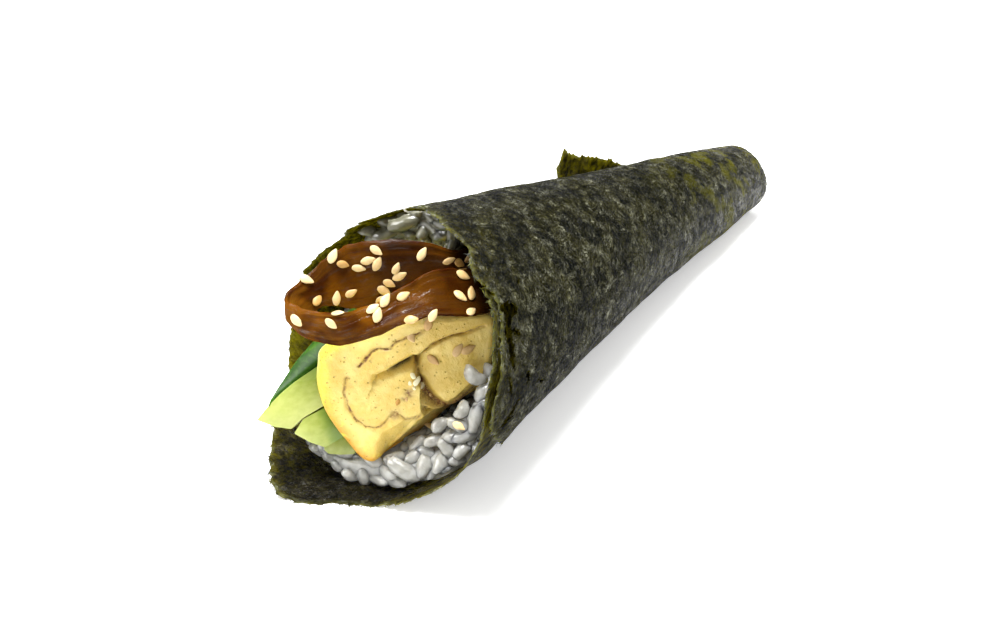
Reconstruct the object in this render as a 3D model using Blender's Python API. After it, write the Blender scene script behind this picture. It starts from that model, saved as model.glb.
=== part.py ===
"""A temaki hand roll lying on its side: a cone of dried seaweed around rice,
rolled omelette, four cucumber sticks and a folded ribbon of simmered gourd.

All sizes below are in millimetres.  x runs from the open mouth to the narrow
tail, z is up, and the roll rests on a narrow flat strip along its underside.
"""
import bpy
import bmesh
import math
from mathutils import Vector

# ---- the roll ------------------------------------------------------------
METRES = 0.001
ROLL_RADIUS = 26.4          # outside radius where x is 0
ROLL_TAPER = 0.141          # radius lost for each millimetre along x
TAIL_X = 124.0              # where the tail is cut off
FLAT_SHARE = 0.97           # height of the middle line above the flat strip, in radii
BOW_SIDE = 0.9              # how far the middle of the roll bows sideways
BOW_AT = 35.0
BOW_CURVE = 0.00035

# ---- the seaweed sheet ---------------------------------------------------
SHEET_THICK = 0.5
LAYER_STEP = 1.0            # from one layer of the sheet to the next
START_ANGLE = 118.0         # the sheet starts here, measured from straight down
ONE_LAYER_FROM = 206.0      # turn angle at which the first layer stops being covered
FULL_TURN = 360.0
END_TURN = 565.0            # turn angle at which the sheet ends
TURN_STEP = 8.0
ROWS_ALONG = 13
EASE_LENGTH = 12.0          # the uncovered front of the first layer eases outward
# how far forward the sheet's front edge lies at each turn angle
FRONT_EDGE = ((0, -15.0), (30, -20.5), (60, -22.4), (92, -30.2), (118, -35.6),
              (131, -41.0), (145, -40.8), (162, -32.5), (177, -22.6), (210, -12.0),
              (242, 0.6), (272, 0.6), (305, -1.5), (330, -8.5), (360, -10.5),
              (398, -14.8), (413, -13.8), (470, 12.0), (565, 69.0))
FLAP_STEPS = 4              # the loose last corner stands away from the roll
FLAP_HEIGHT = ((69, 13.0), (75, 14.6), (83, 13.6), (91, 11.5), (99, 7.0), (112, 1.6),
               (124, 0.8))

# ---- the rice ------------------------------------------------------------
RICE_CLEAR = 0.35           # gap between the rice and whatever it touches
RICE_BACK_X = 113.0
RICE_CORE_X = 6.0           # how far back the rice lies behind the fillings
RICE_LUMP = 1.3             # height of the lumps on its front
RICE_COLUMNS = 44
RICE_RINGS = 11
RICE_SHARES = (0.3, 0.55, 0.66, 0.74, 0.82, 0.92)   # rings across its front
START_RAMP = 24.0           # the rice steps in over this angle at the sheet's start
SLIVER = 0.00002            # corners closer than this, in metres, are one
# how far forward the rice comes at the wall, by angle from straight down
RICE_FRONT = ((-180, 1.5), (-150, 1.0), (-127, -1.0), (-100, 0.0), (-82, -3.0),
              (-62, -9.0), (-45, -21.0), (-28, -30.5), (0, -27.5), (15, -25.5),
              (35, -19.5), (50, -14.5), (65, -11.5), (90, -10.0), (110, -2.0),
              (150, 5.0), (180, 1.5))
MOUND_INNER = 0.62          # share of the radius where the mound begins
MOUND_OUTER = 0.80          # share of the radius where it is full

# ---- the omelette --------------------------------------------------------
EGG_AT = (-19.7, -5.2, 24.2)
EGG_FACE = (-0.677, -0.694, 0.245)      # the way its cut face looks
EGG_RUN = (1.0, 0.02, -0.07)            # the way the block runs into the roll
EGG_LENGTH = 40.0
EGG_SHRINK = 0.0075                     # size lost for each millimetre of run
EGG_EDGE = 1.6                          # rounding of the front edge
EGG_BODY = ((-15.7, 6.1), (-13.3, 8.9), (-7.0, 10.0), (-3.7, 12.6), (1.0, 13.0),
            (10.4, 13.4), (18.6, 13.0), (19.4, 8.7), (18.4, 2.0), (15.7, -1.7),
            (13.1, -4.1), (6.6, -7.1), (4.4, -6.6), (2.7, -10.8), (-2.4, -15.3),
            (-6.5, -16.9), (-8.9, -15.5), (-12.5, -10.3), (-14.4, -4.8), (-16.1, 3.2))
EGG_NOTCH_AFTER = 11                    # the split between its two lobes goes here
EGG_NOTCH = ((4.6, -2.2), (3.1, 3.0), (2.6, -2.1), (3.4, -6.9))

# ---- the cucumber sticks -------------------------------------------------
# middle of the section where x is the first number, direction, length, taper,
# the way the front cut looks, and the section as (sideways, up) corners
SKIN_STICK = dict(at=(-30.0, 18.2, 17.4), run=(1.0, -0.085, 0.255), length=52.0,
                  shrink=0.0045, cut=(-0.42, 0.85, -0.32), cut_at=(-37.0, 15.3, 19.1),
                  section=((-3.0, 3.0), (-1.2, 4.3), (1.2, 4.6), (3.0, 3.4),
                           (4.0, 0.6), (3.0, -2.8), (0.0, -4.0), (-2.9, -3.2)))
UPPER_STICK = dict(at=(-30.0, 11.6, 18.6), run=(1.0, -0.06, 0.10), length=62.0,
                   shrink=0.0045, cut=(-0.69, -0.63, 0.36), cut_at=(-33.0, 11.2, 18.9),
                   section=((3.2, -1.3), (3.0, 2.4), (0.3, 5.4), (-2.2, 4.0),
                            (-3.2, -1.6), (-1.3, -2.9), (1.6, -3.2)))
LOWER_STICK = dict(at=(-30.0, 6.6, 11.6), run=(1.0, -0.03, 0.03), length=60.0,
                   shrink=0.0050, cut=(-0.78, -0.50, 0.38), cut_at=(-32.6, 7.4, 11.9),
                   section=((4.0, 2.2), (-1.2, 2.6), (-2.6, 0.4), (-3.8, -0.6),
                            (-3.4, -2.2), (2.4, -2.6)))
END_STICK = dict(at=(-28.0, 5.2, 7.0), run=(1.0, -0.03, 0.02), length=50.0,
                 shrink=0.0050, cut=(-0.80, -0.45, 0.40), cut_at=(-28.8, 5.2, 7.2),
                 section=((3.6, 1.1), (-1.8, 1.5), (-3.4, 0.2), (-2.8, -1.4), (2.8, -1.6)))

# ---- the gourd ribbon ----------------------------------------------------
RIBBON_THICK = 2.4
RIBBON_SIDES = 10
RIBBON_SQUARE = 0.6         # how square its cross-section is, 1 for an ellipse
RIBBON_STEPS = 3            # rings between one station and the next
# x, y, z of the ribbon's middle, half its width, lean of its width from upright
RIBBON = ((24, 3, 36.0, 3.6, 0), (10, -1, 40.2, 4.4, 0), (-2, -4.6, 43.4, 5.0, 0),
          (-8, 1.0, 44.2, 5.8, 4), (-13, 6.3, 43.8, 6.2, 6), (-18, 11.0, 42.9, 6.0, 8),
          (-23, 14.8, 39.9, 5.0, 6), (-27.0, 15.2, 37.8, 4.3, 4),
          (-29.0, 10.8, 37.2, 4.4, 6), (-27.6, 4.6, 38.2, 4.3, 0),
          (-24.2, -2.0, 41.0, 3.9, -30), (-18.4, -6.6, 42.8, 4.8, -58),
          (-11.5, -10.4, 43.4, 5.2, -55), (-5.0, -12.6, 42.8, 4.8, -42),
          (4.0, -12.0, 40.4, 3.6, -20), (16.0, -9.4, 37.2, 3.0, 0))

COLOURS = dict(nori=(0.035, 0.045, 0.025), rice=(0.72, 0.72, 0.68),
               egg=(0.86, 0.66, 0.20), cucumber=(0.52, 0.66, 0.26),
               skin=(0.08, 0.20, 0.04), gourd=(0.26, 0.10, 0.02))


# ---- small helpers -------------------------------------------------------
def clear_scene():
    for thing in list(bpy.data.objects):
        bpy.data.objects.remove(thing, do_unlink=True)


def ease(share):
    held = min(max(share, 0.0), 1.0)
    return held * held * (3.0 - 2.0 * held)


def along_table(table, at):
    """Straight-line reading of a table of (position, value) pairs."""
    if at <= table[0][0]:
        return table[0][1]
    for (left, low), (right, high) in zip(table, table[1:]):
        if at <= right:
            return low + (high - low) * (at - left) / (right - left)
    return table[-1][1]


def roll_radius(x):
    return ROLL_RADIUS - ROLL_TAPER * x


def bow(x):
    return BOW_SIDE - BOW_CURVE * (x - BOW_AT) ** 2


def roll_point(x, angle, inset, share=1.0):
    """A point on the roll's cross-section, angle measured from straight down."""
    turned = math.radians(angle)
    reach = roll_radius(x) - inset
    down = math.cos(turned)
    if down > 0.05:
        reach = min(reach, (roll_radius(x) * FLAT_SHARE - inset) / down)
    reach *= share
    return Vector((x, bow(x) - reach * math.sin(turned),
                   roll_radius(x) * FLAT_SHARE - reach * down))


def make_solid(name, points, faces):
    mesh = bpy.data.meshes.new(name)
    mesh.from_pydata([tuple(Vector(p) * METRES) for p in points], [], faces)
    work = bmesh.new()
    work.from_mesh(mesh)
    bmesh.ops.recalc_face_normals(work, faces=work.faces)
    if work.calc_volume(signed=True) < 0.0:
        bmesh.ops.reverse_faces(work, faces=work.faces)
    work.to_mesh(mesh)
    work.free()
    thing = bpy.data.objects.new(name, mesh)
    bpy.context.scene.collection.objects.link(thing)
    return thing


def loft(name, rings):
    """One closed solid through rings that all have the same number of corners."""
    count = len(rings[0])
    points = [p for ring in rings for p in ring]
    faces = [tuple(range(count))]
    for row in range(len(rings) - 1):
        for k in range(count):
            here = row * count
            after = here + count
            faces.append((here + k, here + (k + 1) % count,
                          after + (k + 1) % count, after + k))
    last = (len(rings) - 1) * count
    faces.append(tuple(range(last, last + count)))
    return make_solid(name, points, faces)


def grow_outline(outline, by):
    """The outline moved outward by the same distance all round."""
    area = sum(a[0] * b[1] - b[0] * a[1] for a, b in zip(outline, outline[1:] + outline[:1]))
    side = 1.0 if area > 0.0 else -1.0
    grown = []
    for k, corner in enumerate(outline):
        here = Vector(corner)
        before = (here - Vector(outline[k - 1])).normalized()
        after = (Vector(outline[(k + 1) % len(outline)]) - here).normalized()
        out = Vector((before.y + after.y, -before.x - after.x)) * side
        out.normalize()
        square = max(abs(out.x * before.y - out.y * before.x), 0.5)
        grown.append(tuple(here + out * by / square))
    return grown


def paint(thing, name, colour, roughness):
    material = bpy.data.materials.new(name)
    material.use_nodes = True
    shader = material.node_tree.nodes["Principled BSDF"]
    shader.inputs["Base Color"].default_value = (*colour, 1.0)
    shader.inputs["Roughness"].default_value = roughness
    thing.data.materials.append(material)


def shade_round(thing, corner):
    for face in thing.data.polygons:
        face.use_smooth = True
    thing.data.set_sharp_from_angle(angle=math.radians(corner))


# ---- the seaweed ---------------------------------------------------------
def layer_inset(x, turn):
    """How far inside the roll's outline the sheet's outer side lies."""
    if turn <= ONE_LAYER_FROM:
        covered_from = along_table(FRONT_EDGE, turn + FULL_TURN)
        return LAYER_STEP * ease((x - covered_from + EASE_LENGTH) / EASE_LENGTH)
    return LAYER_STEP * (1.0 - ease((turn - ONE_LAYER_FROM) / (FULL_TURN - ONE_LAYER_FROM)))


def sheet_columns():
    """(turn angle, share of the loose corner) for each column of the sheet."""
    steps = int(round(END_TURN / TURN_STEP))
    turns = [(END_TURN * k / steps, 0.0) for k in range(steps + 1)]
    return turns + [(END_TURN, (k + 1) / FLAP_STEPS) for k in range(FLAP_STEPS)]


def sheet_point(x, turn, loose, depth):
    angle = START_ANGLE - turn
    point = roll_point(x, angle, layer_inset(x, turn) + depth)
    if loose > 0.0:
        turned = math.radians(angle)
        onward = Vector((0.0, math.cos(turned), -math.sin(turned)))
        point += onward * along_table(FLAP_HEIGHT, x) * loose
    return point


def make_sheet():
    columns = sheet_columns()
    rows = ROWS_ALONG + 1
    points = []
    for depth in (0.0, SHEET_THICK):
        for turn, loose in columns:
            front = along_table(FRONT_EDGE, turn)
            for row in range(rows):
                x = front + (TAIL_X - front) * row / ROWS_ALONG
                points.append(sheet_point(x, turn, loose, depth))
    back = len(columns) * rows
    faces = []
    for column in range(len(columns) - 1):
        for row in range(ROWS_ALONG):
            a = column * rows + row
            faces.append((a, a + 1, a + rows + 1, a + rows))
            faces.append((back + a, back + a + rows, back + a + rows + 1, back + a + 1))
    for column in range(len(columns) - 1):
        for row in (0, ROWS_ALONG):
            a = column * rows + row
            faces.append((a, a + rows, back + a + rows, back + a))
    for column in (0, len(columns) - 1):
        for row in range(ROWS_ALONG):
            a = column * rows + row
            faces.append((a, a + 1, back + a + 1, back + a))
    sheet = make_solid("nori_wrap", points, faces)
    paint(sheet, "nori", COLOURS["nori"], 0.55)
    shade_round(sheet, 40.0)
    return sheet


# ---- the rice ------------------------------------------------------------
def rice_inset(x, angle):
    """Keeps the rice clear of the sheet, with a ramp up to the sheet's start."""
    turn = (START_ANGLE - angle) % FULL_TURN
    step = layer_inset(x, turn)
    if turn > FULL_TURN - START_RAMP:
        step = LAYER_STEP * ease((turn - FULL_TURN + START_RAMP) / (START_RAMP * 0.7))
    return step + SHEET_THICK + RICE_CLEAR


def rice_front(angle, share):
    at_wall = along_table(RICE_FRONT, angle)
    lumps = math.sin(angle * 0.21) * math.sin(angle * 0.083 + share * 9.0)
    full = ease((share - MOUND_INNER) / (MOUND_OUTER - MOUND_INNER))
    return RICE_CORE_X + (at_wall - RICE_CORE_X) * full + RICE_LUMP * lumps * full


def make_rice_plug():
    angles = [-180.0 + 360.0 * k / RICE_COLUMNS for k in range(RICE_COLUMNS)]
    rings = []
    for share in RICE_SHARES:
        ring = []
        for angle in angles:
            x = rice_front(angle, share)
            ring.append(roll_point(x, angle, rice_inset(x, angle), share))
        rings.append(ring)
    for step in range(RICE_RINGS + 1):
        ring = []
        for angle in angles:
            front = rice_front(angle, 1.0)
            x = front + (RICE_BACK_X - front) * step / RICE_RINGS
            ring.append(roll_point(x, angle, rice_inset(x, angle)))
        rings.append(ring)
    return loft("rice", rings)


def cut_away(thing, cutter):
    cutter.hide_render = True
    cutter.display_type = "WIRE"
    cut = thing.modifiers.new("room for a filling", "BOOLEAN")
    cut.operation = "DIFFERENCE"
    cut.solver = "EXACT"
    cut.object = cutter
    return cut


def settle(thing, cutters):
    """Applies the cuts, keeps the largest piece and removes the cutters."""
    graph = bpy.context.evaluated_depsgraph_get()
    cut_mesh = bpy.data.meshes.new_from_object(thing.evaluated_get(graph))
    thing.modifiers.clear()
    thing.data = cut_mesh
    for cutter in cutters:
        bpy.data.objects.remove(cutter, do_unlink=True)
    work = bmesh.new()
    work.from_mesh(thing.data)
    bmesh.ops.remove_doubles(work, verts=work.verts, dist=SLIVER)
    bmesh.ops.triangulate(work, faces=work.faces)
    islands = []
    left = set(work.verts)
    while left:
        seed = left.pop()
        island = {seed}
        waiting = [seed]
        while waiting:
            vertex = waiting.pop()
            for edge in vertex.link_edges:
                other = edge.other_vert(vertex)
                if other not in island:
                    island.add(other)
                    waiting.append(other)
        left -= island
        islands.append(island)
    biggest = max(islands, key=len)
    spare = [vertex for vertex in work.verts if vertex not in biggest]
    bmesh.ops.delete(work, geom=spare, context="VERTS")
    work.to_mesh(thing.data)
    work.free()


def make_rice():
    rice = make_rice_plug()
    cutters = [make_egg("egg room", RICE_CLEAR), make_ribbon("gourd room", RICE_CLEAR)]
    for number, stick in enumerate((SKIN_STICK, UPPER_STICK, LOWER_STICK, END_STICK)):
        cutters.append(make_stick("stick room %d" % number, stick, RICE_CLEAR))
    for cutter in cutters:
        cut_away(rice, cutter)
    settle(rice, cutters)
    paint(rice, "rice", COLOURS["rice"], 0.45)
    return rice


# ---- the fillings --------------------------------------------------------
def egg_outline(extra):
    body = list(EGG_BODY)
    if extra > 0.0:
        return grow_outline(body, extra)
    return body[:EGG_NOTCH_AFTER + 1] + list(EGG_NOTCH) + body[EGG_NOTCH_AFTER + 1:]


def make_egg(name, extra=0.0):
    facing = Vector(EGG_FACE).normalized()
    across = Vector((-facing.y, facing.x, 0.0)).normalized()
    upward = facing.cross(across)
    run = Vector(EGG_RUN).normalized()
    outline = egg_outline(extra)
    inner = [tuple(Vector(p) * (1.0 - EGG_EDGE / 16.0)) for p in outline]
    stations = [(-extra, inner if extra == 0.0 else outline), (EGG_EDGE, outline),
                (EGG_LENGTH * 0.5, outline), (EGG_LENGTH + extra, outline)]
    rings = []
    for depth, shape in stations:
        size = 1.0 - EGG_SHRINK * max(depth - EGG_EDGE, 0.0)
        middle = Vector(EGG_AT) + run * depth
        rings.append([middle + across * (u * size) + upward * (v * size) for u, v in shape])
    return loft(name, rings)


def make_egg_node():
    egg = make_egg("egg")
    paint(egg, "egg", COLOURS["egg"], 0.5)
    shade_round(egg, 35.0)
    return egg


def make_stick(name, stick, extra=0.0):
    run = Vector(stick["run"])
    facing = Vector(stick["cut"]).normalized()
    section = grow_outline(list(stick["section"]), extra) if extra else stick["section"]
    cut_at = Vector(stick["cut_at"]) + facing * extra
    rings = []
    for share in (0.0, 0.25, 0.5, 0.75, 1.0):
        ring = []
        for sideways, up in section:
            start = Vector(stick["at"]) + Vector((0.0, sideways, up))
            front = (cut_at - start).dot(facing) / run.dot(facing)
            along = front + (stick["length"] + extra - front) * share
            size = 1.0 - stick["shrink"] * max(along, 0.0)
            ring.append(Vector(stick["at"]) + run * along
                        + Vector((0.0, sideways, up)) * size)
        rings.append(ring)
    return loft(name, rings)


def make_stick_node(name, stick, colour="cucumber"):
    cucumber = make_stick(name, stick)
    paint(cucumber, name, COLOURS[colour], 0.35)
    shade_round(cucumber, 40.0)
    return cucumber


def smooth_stations():
    """The ribbon's stations with rounded steps between them."""
    places = [Vector(row[:3]) for row in RIBBON]
    last = len(places) - 1
    result = []
    for k in range(last):
        before, here = places[max(k - 1, 0)], places[k]
        after, beyond = places[k + 1], places[min(k + 2, last)]
        for step in range(RIBBON_STEPS):
            t = step / RIBBON_STEPS
            bend = 2.0 * before - 5.0 * here + 4.0 * after - beyond
            twist = 3.0 * here - before - 3.0 * after + beyond
            place = 0.5 * (2.0 * here + (after - before) * t + bend * t ** 2 + twist * t ** 3)
            wide = RIBBON[k][3] + (RIBBON[k + 1][3] - RIBBON[k][3]) * t
            lean = RIBBON[k][4] + (RIBBON[k + 1][4] - RIBBON[k][4]) * t
            result.append((place, wide, lean))
    result.append((places[last], RIBBON[last][3], RIBBON[last][4]))
    return result


def make_ribbon(name, extra=0.0):
    stations = smooth_stations()
    rings = []
    for k, (place, wide, lean) in enumerate(stations):
        before = stations[max(k - 1, 0)][0]
        after = stations[min(k + 1, len(stations) - 1)][0]
        run = (after - before).normalized()
        if k == 0:
            place = place - run * extra
        if k == len(stations) - 1:
            place = place + run * extra
        out = run.cross(Vector((0.0, 0.0, 1.0))).normalized()
        up = out.cross(run).normalized()
        leaned = math.radians(lean)
        broad = up * math.cos(leaned) + out * math.sin(leaned)
        thin = broad.cross(run).normalized()
        ring = []
        for side in range(RIBBON_SIDES):
            turned = math.tau * side / RIBBON_SIDES
            flat = math.copysign(abs(math.cos(turned)) ** RIBBON_SQUARE, math.cos(turned))
            thick = math.copysign(abs(math.sin(turned)) ** RIBBON_SQUARE, math.sin(turned))
            ring.append(place + broad * flat * (wide + extra)
                        + thin * thick * (RIBBON_THICK / 2.0 + extra))
        rings.append(ring)
    return loft(name, rings)


def make_ribbon_node():
    ribbon = make_ribbon("kanpyo")
    paint(ribbon, "kanpyo", COLOURS["gourd"], 0.25)
    shade_round(ribbon, 50.0)
    return ribbon


# ---- the whole roll ------------------------------------------------------
def stand_on_origin(things):
    """Carries every piece on an empty, so the bottom middle of the whole is the origin."""
    corners = [vertex.co for thing in things for vertex in thing.data.vertices]
    low = [min(corner[k] for corner in corners) for k in range(3)]
    high = [max(corner[k] for corner in corners) for k in range(3)]
    roll = bpy.data.objects.new("hand roll", None)
    roll.location = (-(low[0] + high[0]) / 2.0, -(low[1] + high[1]) / 2.0, -low[2])
    bpy.context.scene.collection.objects.link(roll)
    for thing in things:
        thing.parent = roll


def main():
    clear_scene()
    things = [make_sheet(), make_rice(), make_egg_node(), make_ribbon_node(),
              make_stick_node("cucumber_skin_side", SKIN_STICK, "skin"),
              make_stick_node("cucumber_upper", UPPER_STICK),
              make_stick_node("cucumber_lower", LOWER_STICK),
              make_stick_node("cucumber_end", END_STICK)]
    stand_on_origin(things)


main()
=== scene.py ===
import bpy
import math
import random
from mathutils import Matrix, Vector, noise
from mathutils.bvhtree import BVHTree


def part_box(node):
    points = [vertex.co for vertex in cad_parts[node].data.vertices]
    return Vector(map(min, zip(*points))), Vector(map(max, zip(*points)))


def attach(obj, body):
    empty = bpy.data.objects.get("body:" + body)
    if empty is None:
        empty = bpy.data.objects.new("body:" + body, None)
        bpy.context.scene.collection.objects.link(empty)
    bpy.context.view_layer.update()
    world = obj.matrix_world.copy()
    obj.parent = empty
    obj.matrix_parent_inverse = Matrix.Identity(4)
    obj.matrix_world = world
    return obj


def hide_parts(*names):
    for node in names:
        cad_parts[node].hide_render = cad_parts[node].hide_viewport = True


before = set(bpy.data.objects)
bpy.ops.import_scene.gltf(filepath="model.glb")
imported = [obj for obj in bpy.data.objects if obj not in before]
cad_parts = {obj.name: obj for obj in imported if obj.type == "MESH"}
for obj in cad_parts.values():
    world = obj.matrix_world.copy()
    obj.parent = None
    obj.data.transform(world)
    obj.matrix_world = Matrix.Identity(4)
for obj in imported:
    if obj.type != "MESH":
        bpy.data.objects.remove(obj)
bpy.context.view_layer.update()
print("frame loaded,", len(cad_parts), "nodes")

mm = 0.001      # every size below is in millimetres, unless a note says otherwise
floorGap = 0.02     # the seaweed stays this far above the floor

# the cone that everything is rolled in, measured along x from the place where its radius is given
roll = {
    "radius": 26.4,
    "taper": 0.141,         # radius lost for each millimetre towards the tail
    "tailX": 124.0,
    "flatShare": 0.97,      # height of the middle line, in radii, because the roll lies on a flat strip
    "bowSide": 0.9,
    "bowAt": 35.0,
    "bowCurve": 0.00035,
    "nearSide": 28.99,      # from the middle line to the nearest point of the seaweed
}
wrapLow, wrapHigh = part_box("nori_wrap")
rollStart = Vector((wrapHigh.x / mm - roll["tailX"], wrapLow.y / mm + roll["nearSide"], 0.0))


def toFrame(point):
    return (Vector(point) + rollStart) * mm


def fromFrame(point):
    return Vector(point) / mm - rollStart


def ease(share):
    held = min(max(share, 0.0), 1.0)
    return held * held * (3.0 - 2.0 * held)


def mix(low, high, share):
    return low + (high - low) * share


def readTable(table, at):
    if at <= table[0][0]:
        return table[0][1]
    for (left, low), (right, high) in zip(table, table[1:]):
        if at <= right:
            return mix(low, high, (at - left) / (right - left))
    return table[-1][1]


# a smooth curve through four points in a row, from the second at 0 to the third at 1
def smoothBetween(a, b, c, d, t):
    return 0.5 * (2.0 * b + (c - a) * t + (2.0 * a - 5.0 * b + 4.0 * c - d) * t * t
                  + (3.0 * b - a - 3.0 * c + d) * t ** 3)


def rollRadius(x):
    return roll["radius"] - roll["taper"] * x


def rollBow(x):
    return roll["bowSide"] - roll["bowCurve"] * (x - roll["bowAt"]) ** 2


# a point on the roll's cross-section, with the angle measured from straight down
def rollPoint(x, angle, inset):
    turned = math.radians(angle)
    reach = rollRadius(x) - inset
    down = math.cos(turned)
    if down > 0.05:
        reach = min(reach, (rollRadius(x) * roll["flatShare"] - inset) / down)
    return Vector((x, rollBow(x) - reach * math.sin(turned),
                   rollRadius(x) * roll["flatShare"] - reach * down))


# the mouth of the roll, seen square on: sideways, up, and towards whoever looks into it
mouth = {
    "middle": (-15.0, 0.0, 30.0),
    "toward": (-0.640, -0.507, 0.576),
    "sideways": (0.621, -0.784, 0.0),
}
mouthToward = Vector(mouth["toward"]).normalized()
mouthSideways = Vector(mouth["sideways"]).normalized()
mouthUp = mouthToward.cross(mouthSideways)


def fromMouth(sideways, up, toward):
    return (Vector(mouth["middle"]) + mouthSideways * sideways + mouthUp * up
            + mouthToward * toward)


def clearSelection():
    if bpy.context.mode != "OBJECT":
        bpy.ops.object.mode_set(mode="OBJECT")
    bpy.ops.object.select_all(action="DESELECT")


def pickOnly(piece):
    clearSelection()
    piece.select_set(True)
    bpy.context.view_layer.objects.active = piece


# faces are picked in object mode after this, with nothing selected before
def startSelecting(piece):
    pickOnly(piece)
    bpy.ops.object.mode_set(mode="EDIT")
    bpy.ops.mesh.select_mode(type="FACE")
    bpy.ops.mesh.select_all(action="DESELECT")
    bpy.ops.object.mode_set(mode="OBJECT")


def nameNewPiece(name):
    piece = bpy.context.object
    piece.name = name
    piece.data.name = name
    return piece


# corners closer than this are one
mergeDistance = 0.02


def closeUp(piece):
    pickOnly(piece)
    bpy.ops.object.mode_set(mode="EDIT")
    bpy.ops.mesh.select_all(action="SELECT")
    bpy.ops.mesh.remove_doubles(threshold=mergeDistance * mm)
    bpy.ops.mesh.normals_make_consistent(inside=False)
    bpy.ops.object.mode_set(mode="OBJECT")


def shadeSmooth(piece, corner=180.0):
    pickOnly(piece)
    if corner >= 180.0:
        bpy.ops.object.shade_smooth()
    else:
        bpy.ops.object.shade_smooth_by_angle(angle=math.radians(corner))


def applyModifier(piece, kind, **settings):
    pickOnly(piece)
    modifier = piece.modifiers.new(kind.lower(), kind)
    for setting, value in settings.items():
        setattr(modifier, setting, value)
    bpy.ops.object.modifier_apply(modifier=modifier.name)


def copyPiece(model, name):
    copy = model.copy()
    copy.data = model.data.copy()
    copy.name = name
    bpy.context.scene.collection.objects.link(copy)
    return copy


def joinPieces(name, pieces):
    clearSelection()
    for piece in pieces:
        piece.select_set(True)
    bpy.context.view_layer.objects.active = pieces[0]
    bpy.ops.object.join()
    return nameNewPiece(name)


# a flat grid is added and bent into shape: placeAt gives each corner's place in the roll
def bendGrid(name, columns, rows, placeAt, patternAt=None):
    clearSelection()
    bpy.ops.mesh.primitive_grid_add(x_subdivisions=columns, y_subdivisions=rows, size=1.0)
    piece = nameNewPiece(name)
    mesh = piece.data
    shares = [(corner.co.x + 0.5, corner.co.y + 0.5) for corner in mesh.vertices]
    for corner, (across, along) in zip(mesh.vertices, shares):
        corner.co = toFrame(placeAt(across, along))
    if patternAt:
        pattern = mesh.uv_layers.active
        pattern.name = "pattern"
        places = [patternAt(*share) for share in shares]
        for corner in mesh.loops:
            pattern.data[corner.index].uv = places[corner.vertex_index]
    return piece


def writeValues(piece, name, values):
    layer = piece.data.attributes.new(name, "FLOAT", "POINT")
    layer.data.foreach_set("value", values)


def settle(piece, slot, *nodes):
    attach(piece, "root")
    if nodes:
        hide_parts(*nodes)


# one output of a node, so that shader maths reads as ordinary sums
class Wire:
    def __init__(self, tree, socket=None):
        self.tree = tree
        self.socket = socket

    def node(self, kind, settings=None, sockets=None, out=0):
        made = self.tree.nodes.new(kind)
        for setting, value in (settings or {}).items():
            if setting == "stops":
                fillRamp(made.color_ramp, value)
            else:
                setattr(made, setting, value)
        for entry, value in (sockets or {}).items():
            if isinstance(value, Wire):
                self.tree.links.new(value.socket, made.inputs[entry])
            else:
                made.inputs[entry].default_value = value
        return Wire(self.tree, made.outputs[out])

    def sum(self, operation, *values):
        return self.node("ShaderNodeMath", {"operation": operation}, dict(enumerate(values)))

    def __add__(self, other):
        return self.sum("ADD", self, other)

    def __radd__(self, other):
        return self.sum("ADD", other, self)

    def __sub__(self, other):
        return self.sum("SUBTRACT", self, other)

    def __rsub__(self, other):
        return self.sum("SUBTRACT", other, self)

    def __mul__(self, other):
        return self.sum("MULTIPLY", self, other)

    def __rmul__(self, other):
        return self.sum("MULTIPLY", other, self)

    def clamp(self):
        return self.node("ShaderNodeClamp", {}, {"Value": self})

    def distance(self):
        return self.sum("ABSOLUTE", self)

    # 0 below low, 1 above high, and a soft step between them
    def step(self, low, high):
        return self.node("ShaderNodeMapRange", {"interpolation_type": "SMOOTHSTEP"},
                         {"Value": self, "From Min": low, "From Max": high})

    # a thin line wherever the value passes one half
    def ridge(self, width):
        return (1.0 - (self - 0.5).distance() * (1.0 / width)).clamp()

    def blend(self, under, over):
        return self.node("ShaderNodeMix", {"data_type": "RGBA"},
                         {0: self, 6: colour(under), 7: colour(over)}, 2)


def colour(value):
    return value if isinstance(value, Wire) or len(value) == 4 else (*value, 1.0)


def fillRamp(ramp, stops):
    while len(ramp.elements) < len(stops):
        ramp.elements.new(1.0)
    for element, (at, shade) in zip(ramp.elements, stops):
        element.position = at
        element.color = (*shade, 1.0)


def newPaint(name):
    material = bpy.data.materials.new(name)
    material.use_nodes = True
    material.node_tree.nodes.clear()
    return material, Wire(material.node_tree)


def finishPaint(paint, surface):
    output = paint.tree.nodes.new("ShaderNodeOutputMaterial")
    paint.tree.links.new(surface.socket, output.inputs["Surface"])


def objectPlace(paint):
    return paint.node("ShaderNodeTexCoord", {}, {}, "Object")


def patternPlace(paint):
    return paint.node("ShaderNodeUVMap", {"uv_map": "pattern"}, {})


def readValue(paint, name):
    return paint.node("ShaderNodeAttribute", {"attribute_name": name}, {}, "Fac")


# soft noise whose features are about size millimetres across, on coordinates in metres
def cloud(paint, place, size, detail=2.0, rough=0.5, flow=0.0, out=0):
    return paint.node("ShaderNodeTexNoise", {},
                      {"Vector": place, "Scale": 1.0 / (size * mm), "Detail": detail,
                       "Roughness": rough, "Distortion": flow}, out)


# the same noise drawn out into strands
def strands(paint, place, length, width, turn, detail):
    laid = paint.node("ShaderNodeMapping", {"vector_type": "POINT"},
                      {"Vector": place, "Rotation": (0.0, 0.0, math.radians(turn))})
    drawn = paint.node("ShaderNodeMapping", {"vector_type": "POINT"},
                       {"Vector": laid,
                        "Scale": (1.0 / (length * mm), 1.0 / (width * mm), 1.0 / (width * mm))})
    return paint.node("ShaderNodeTexNoise", {},
                      {"Vector": drawn, "Scale": 1.0, "Detail": detail, "Roughness": 0.5})


def bump(paint, height, depth, strength):
    return paint.node("ShaderNodeBump", {},
                      {"Height": height, "Distance": depth * mm, "Strength": strength})


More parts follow.
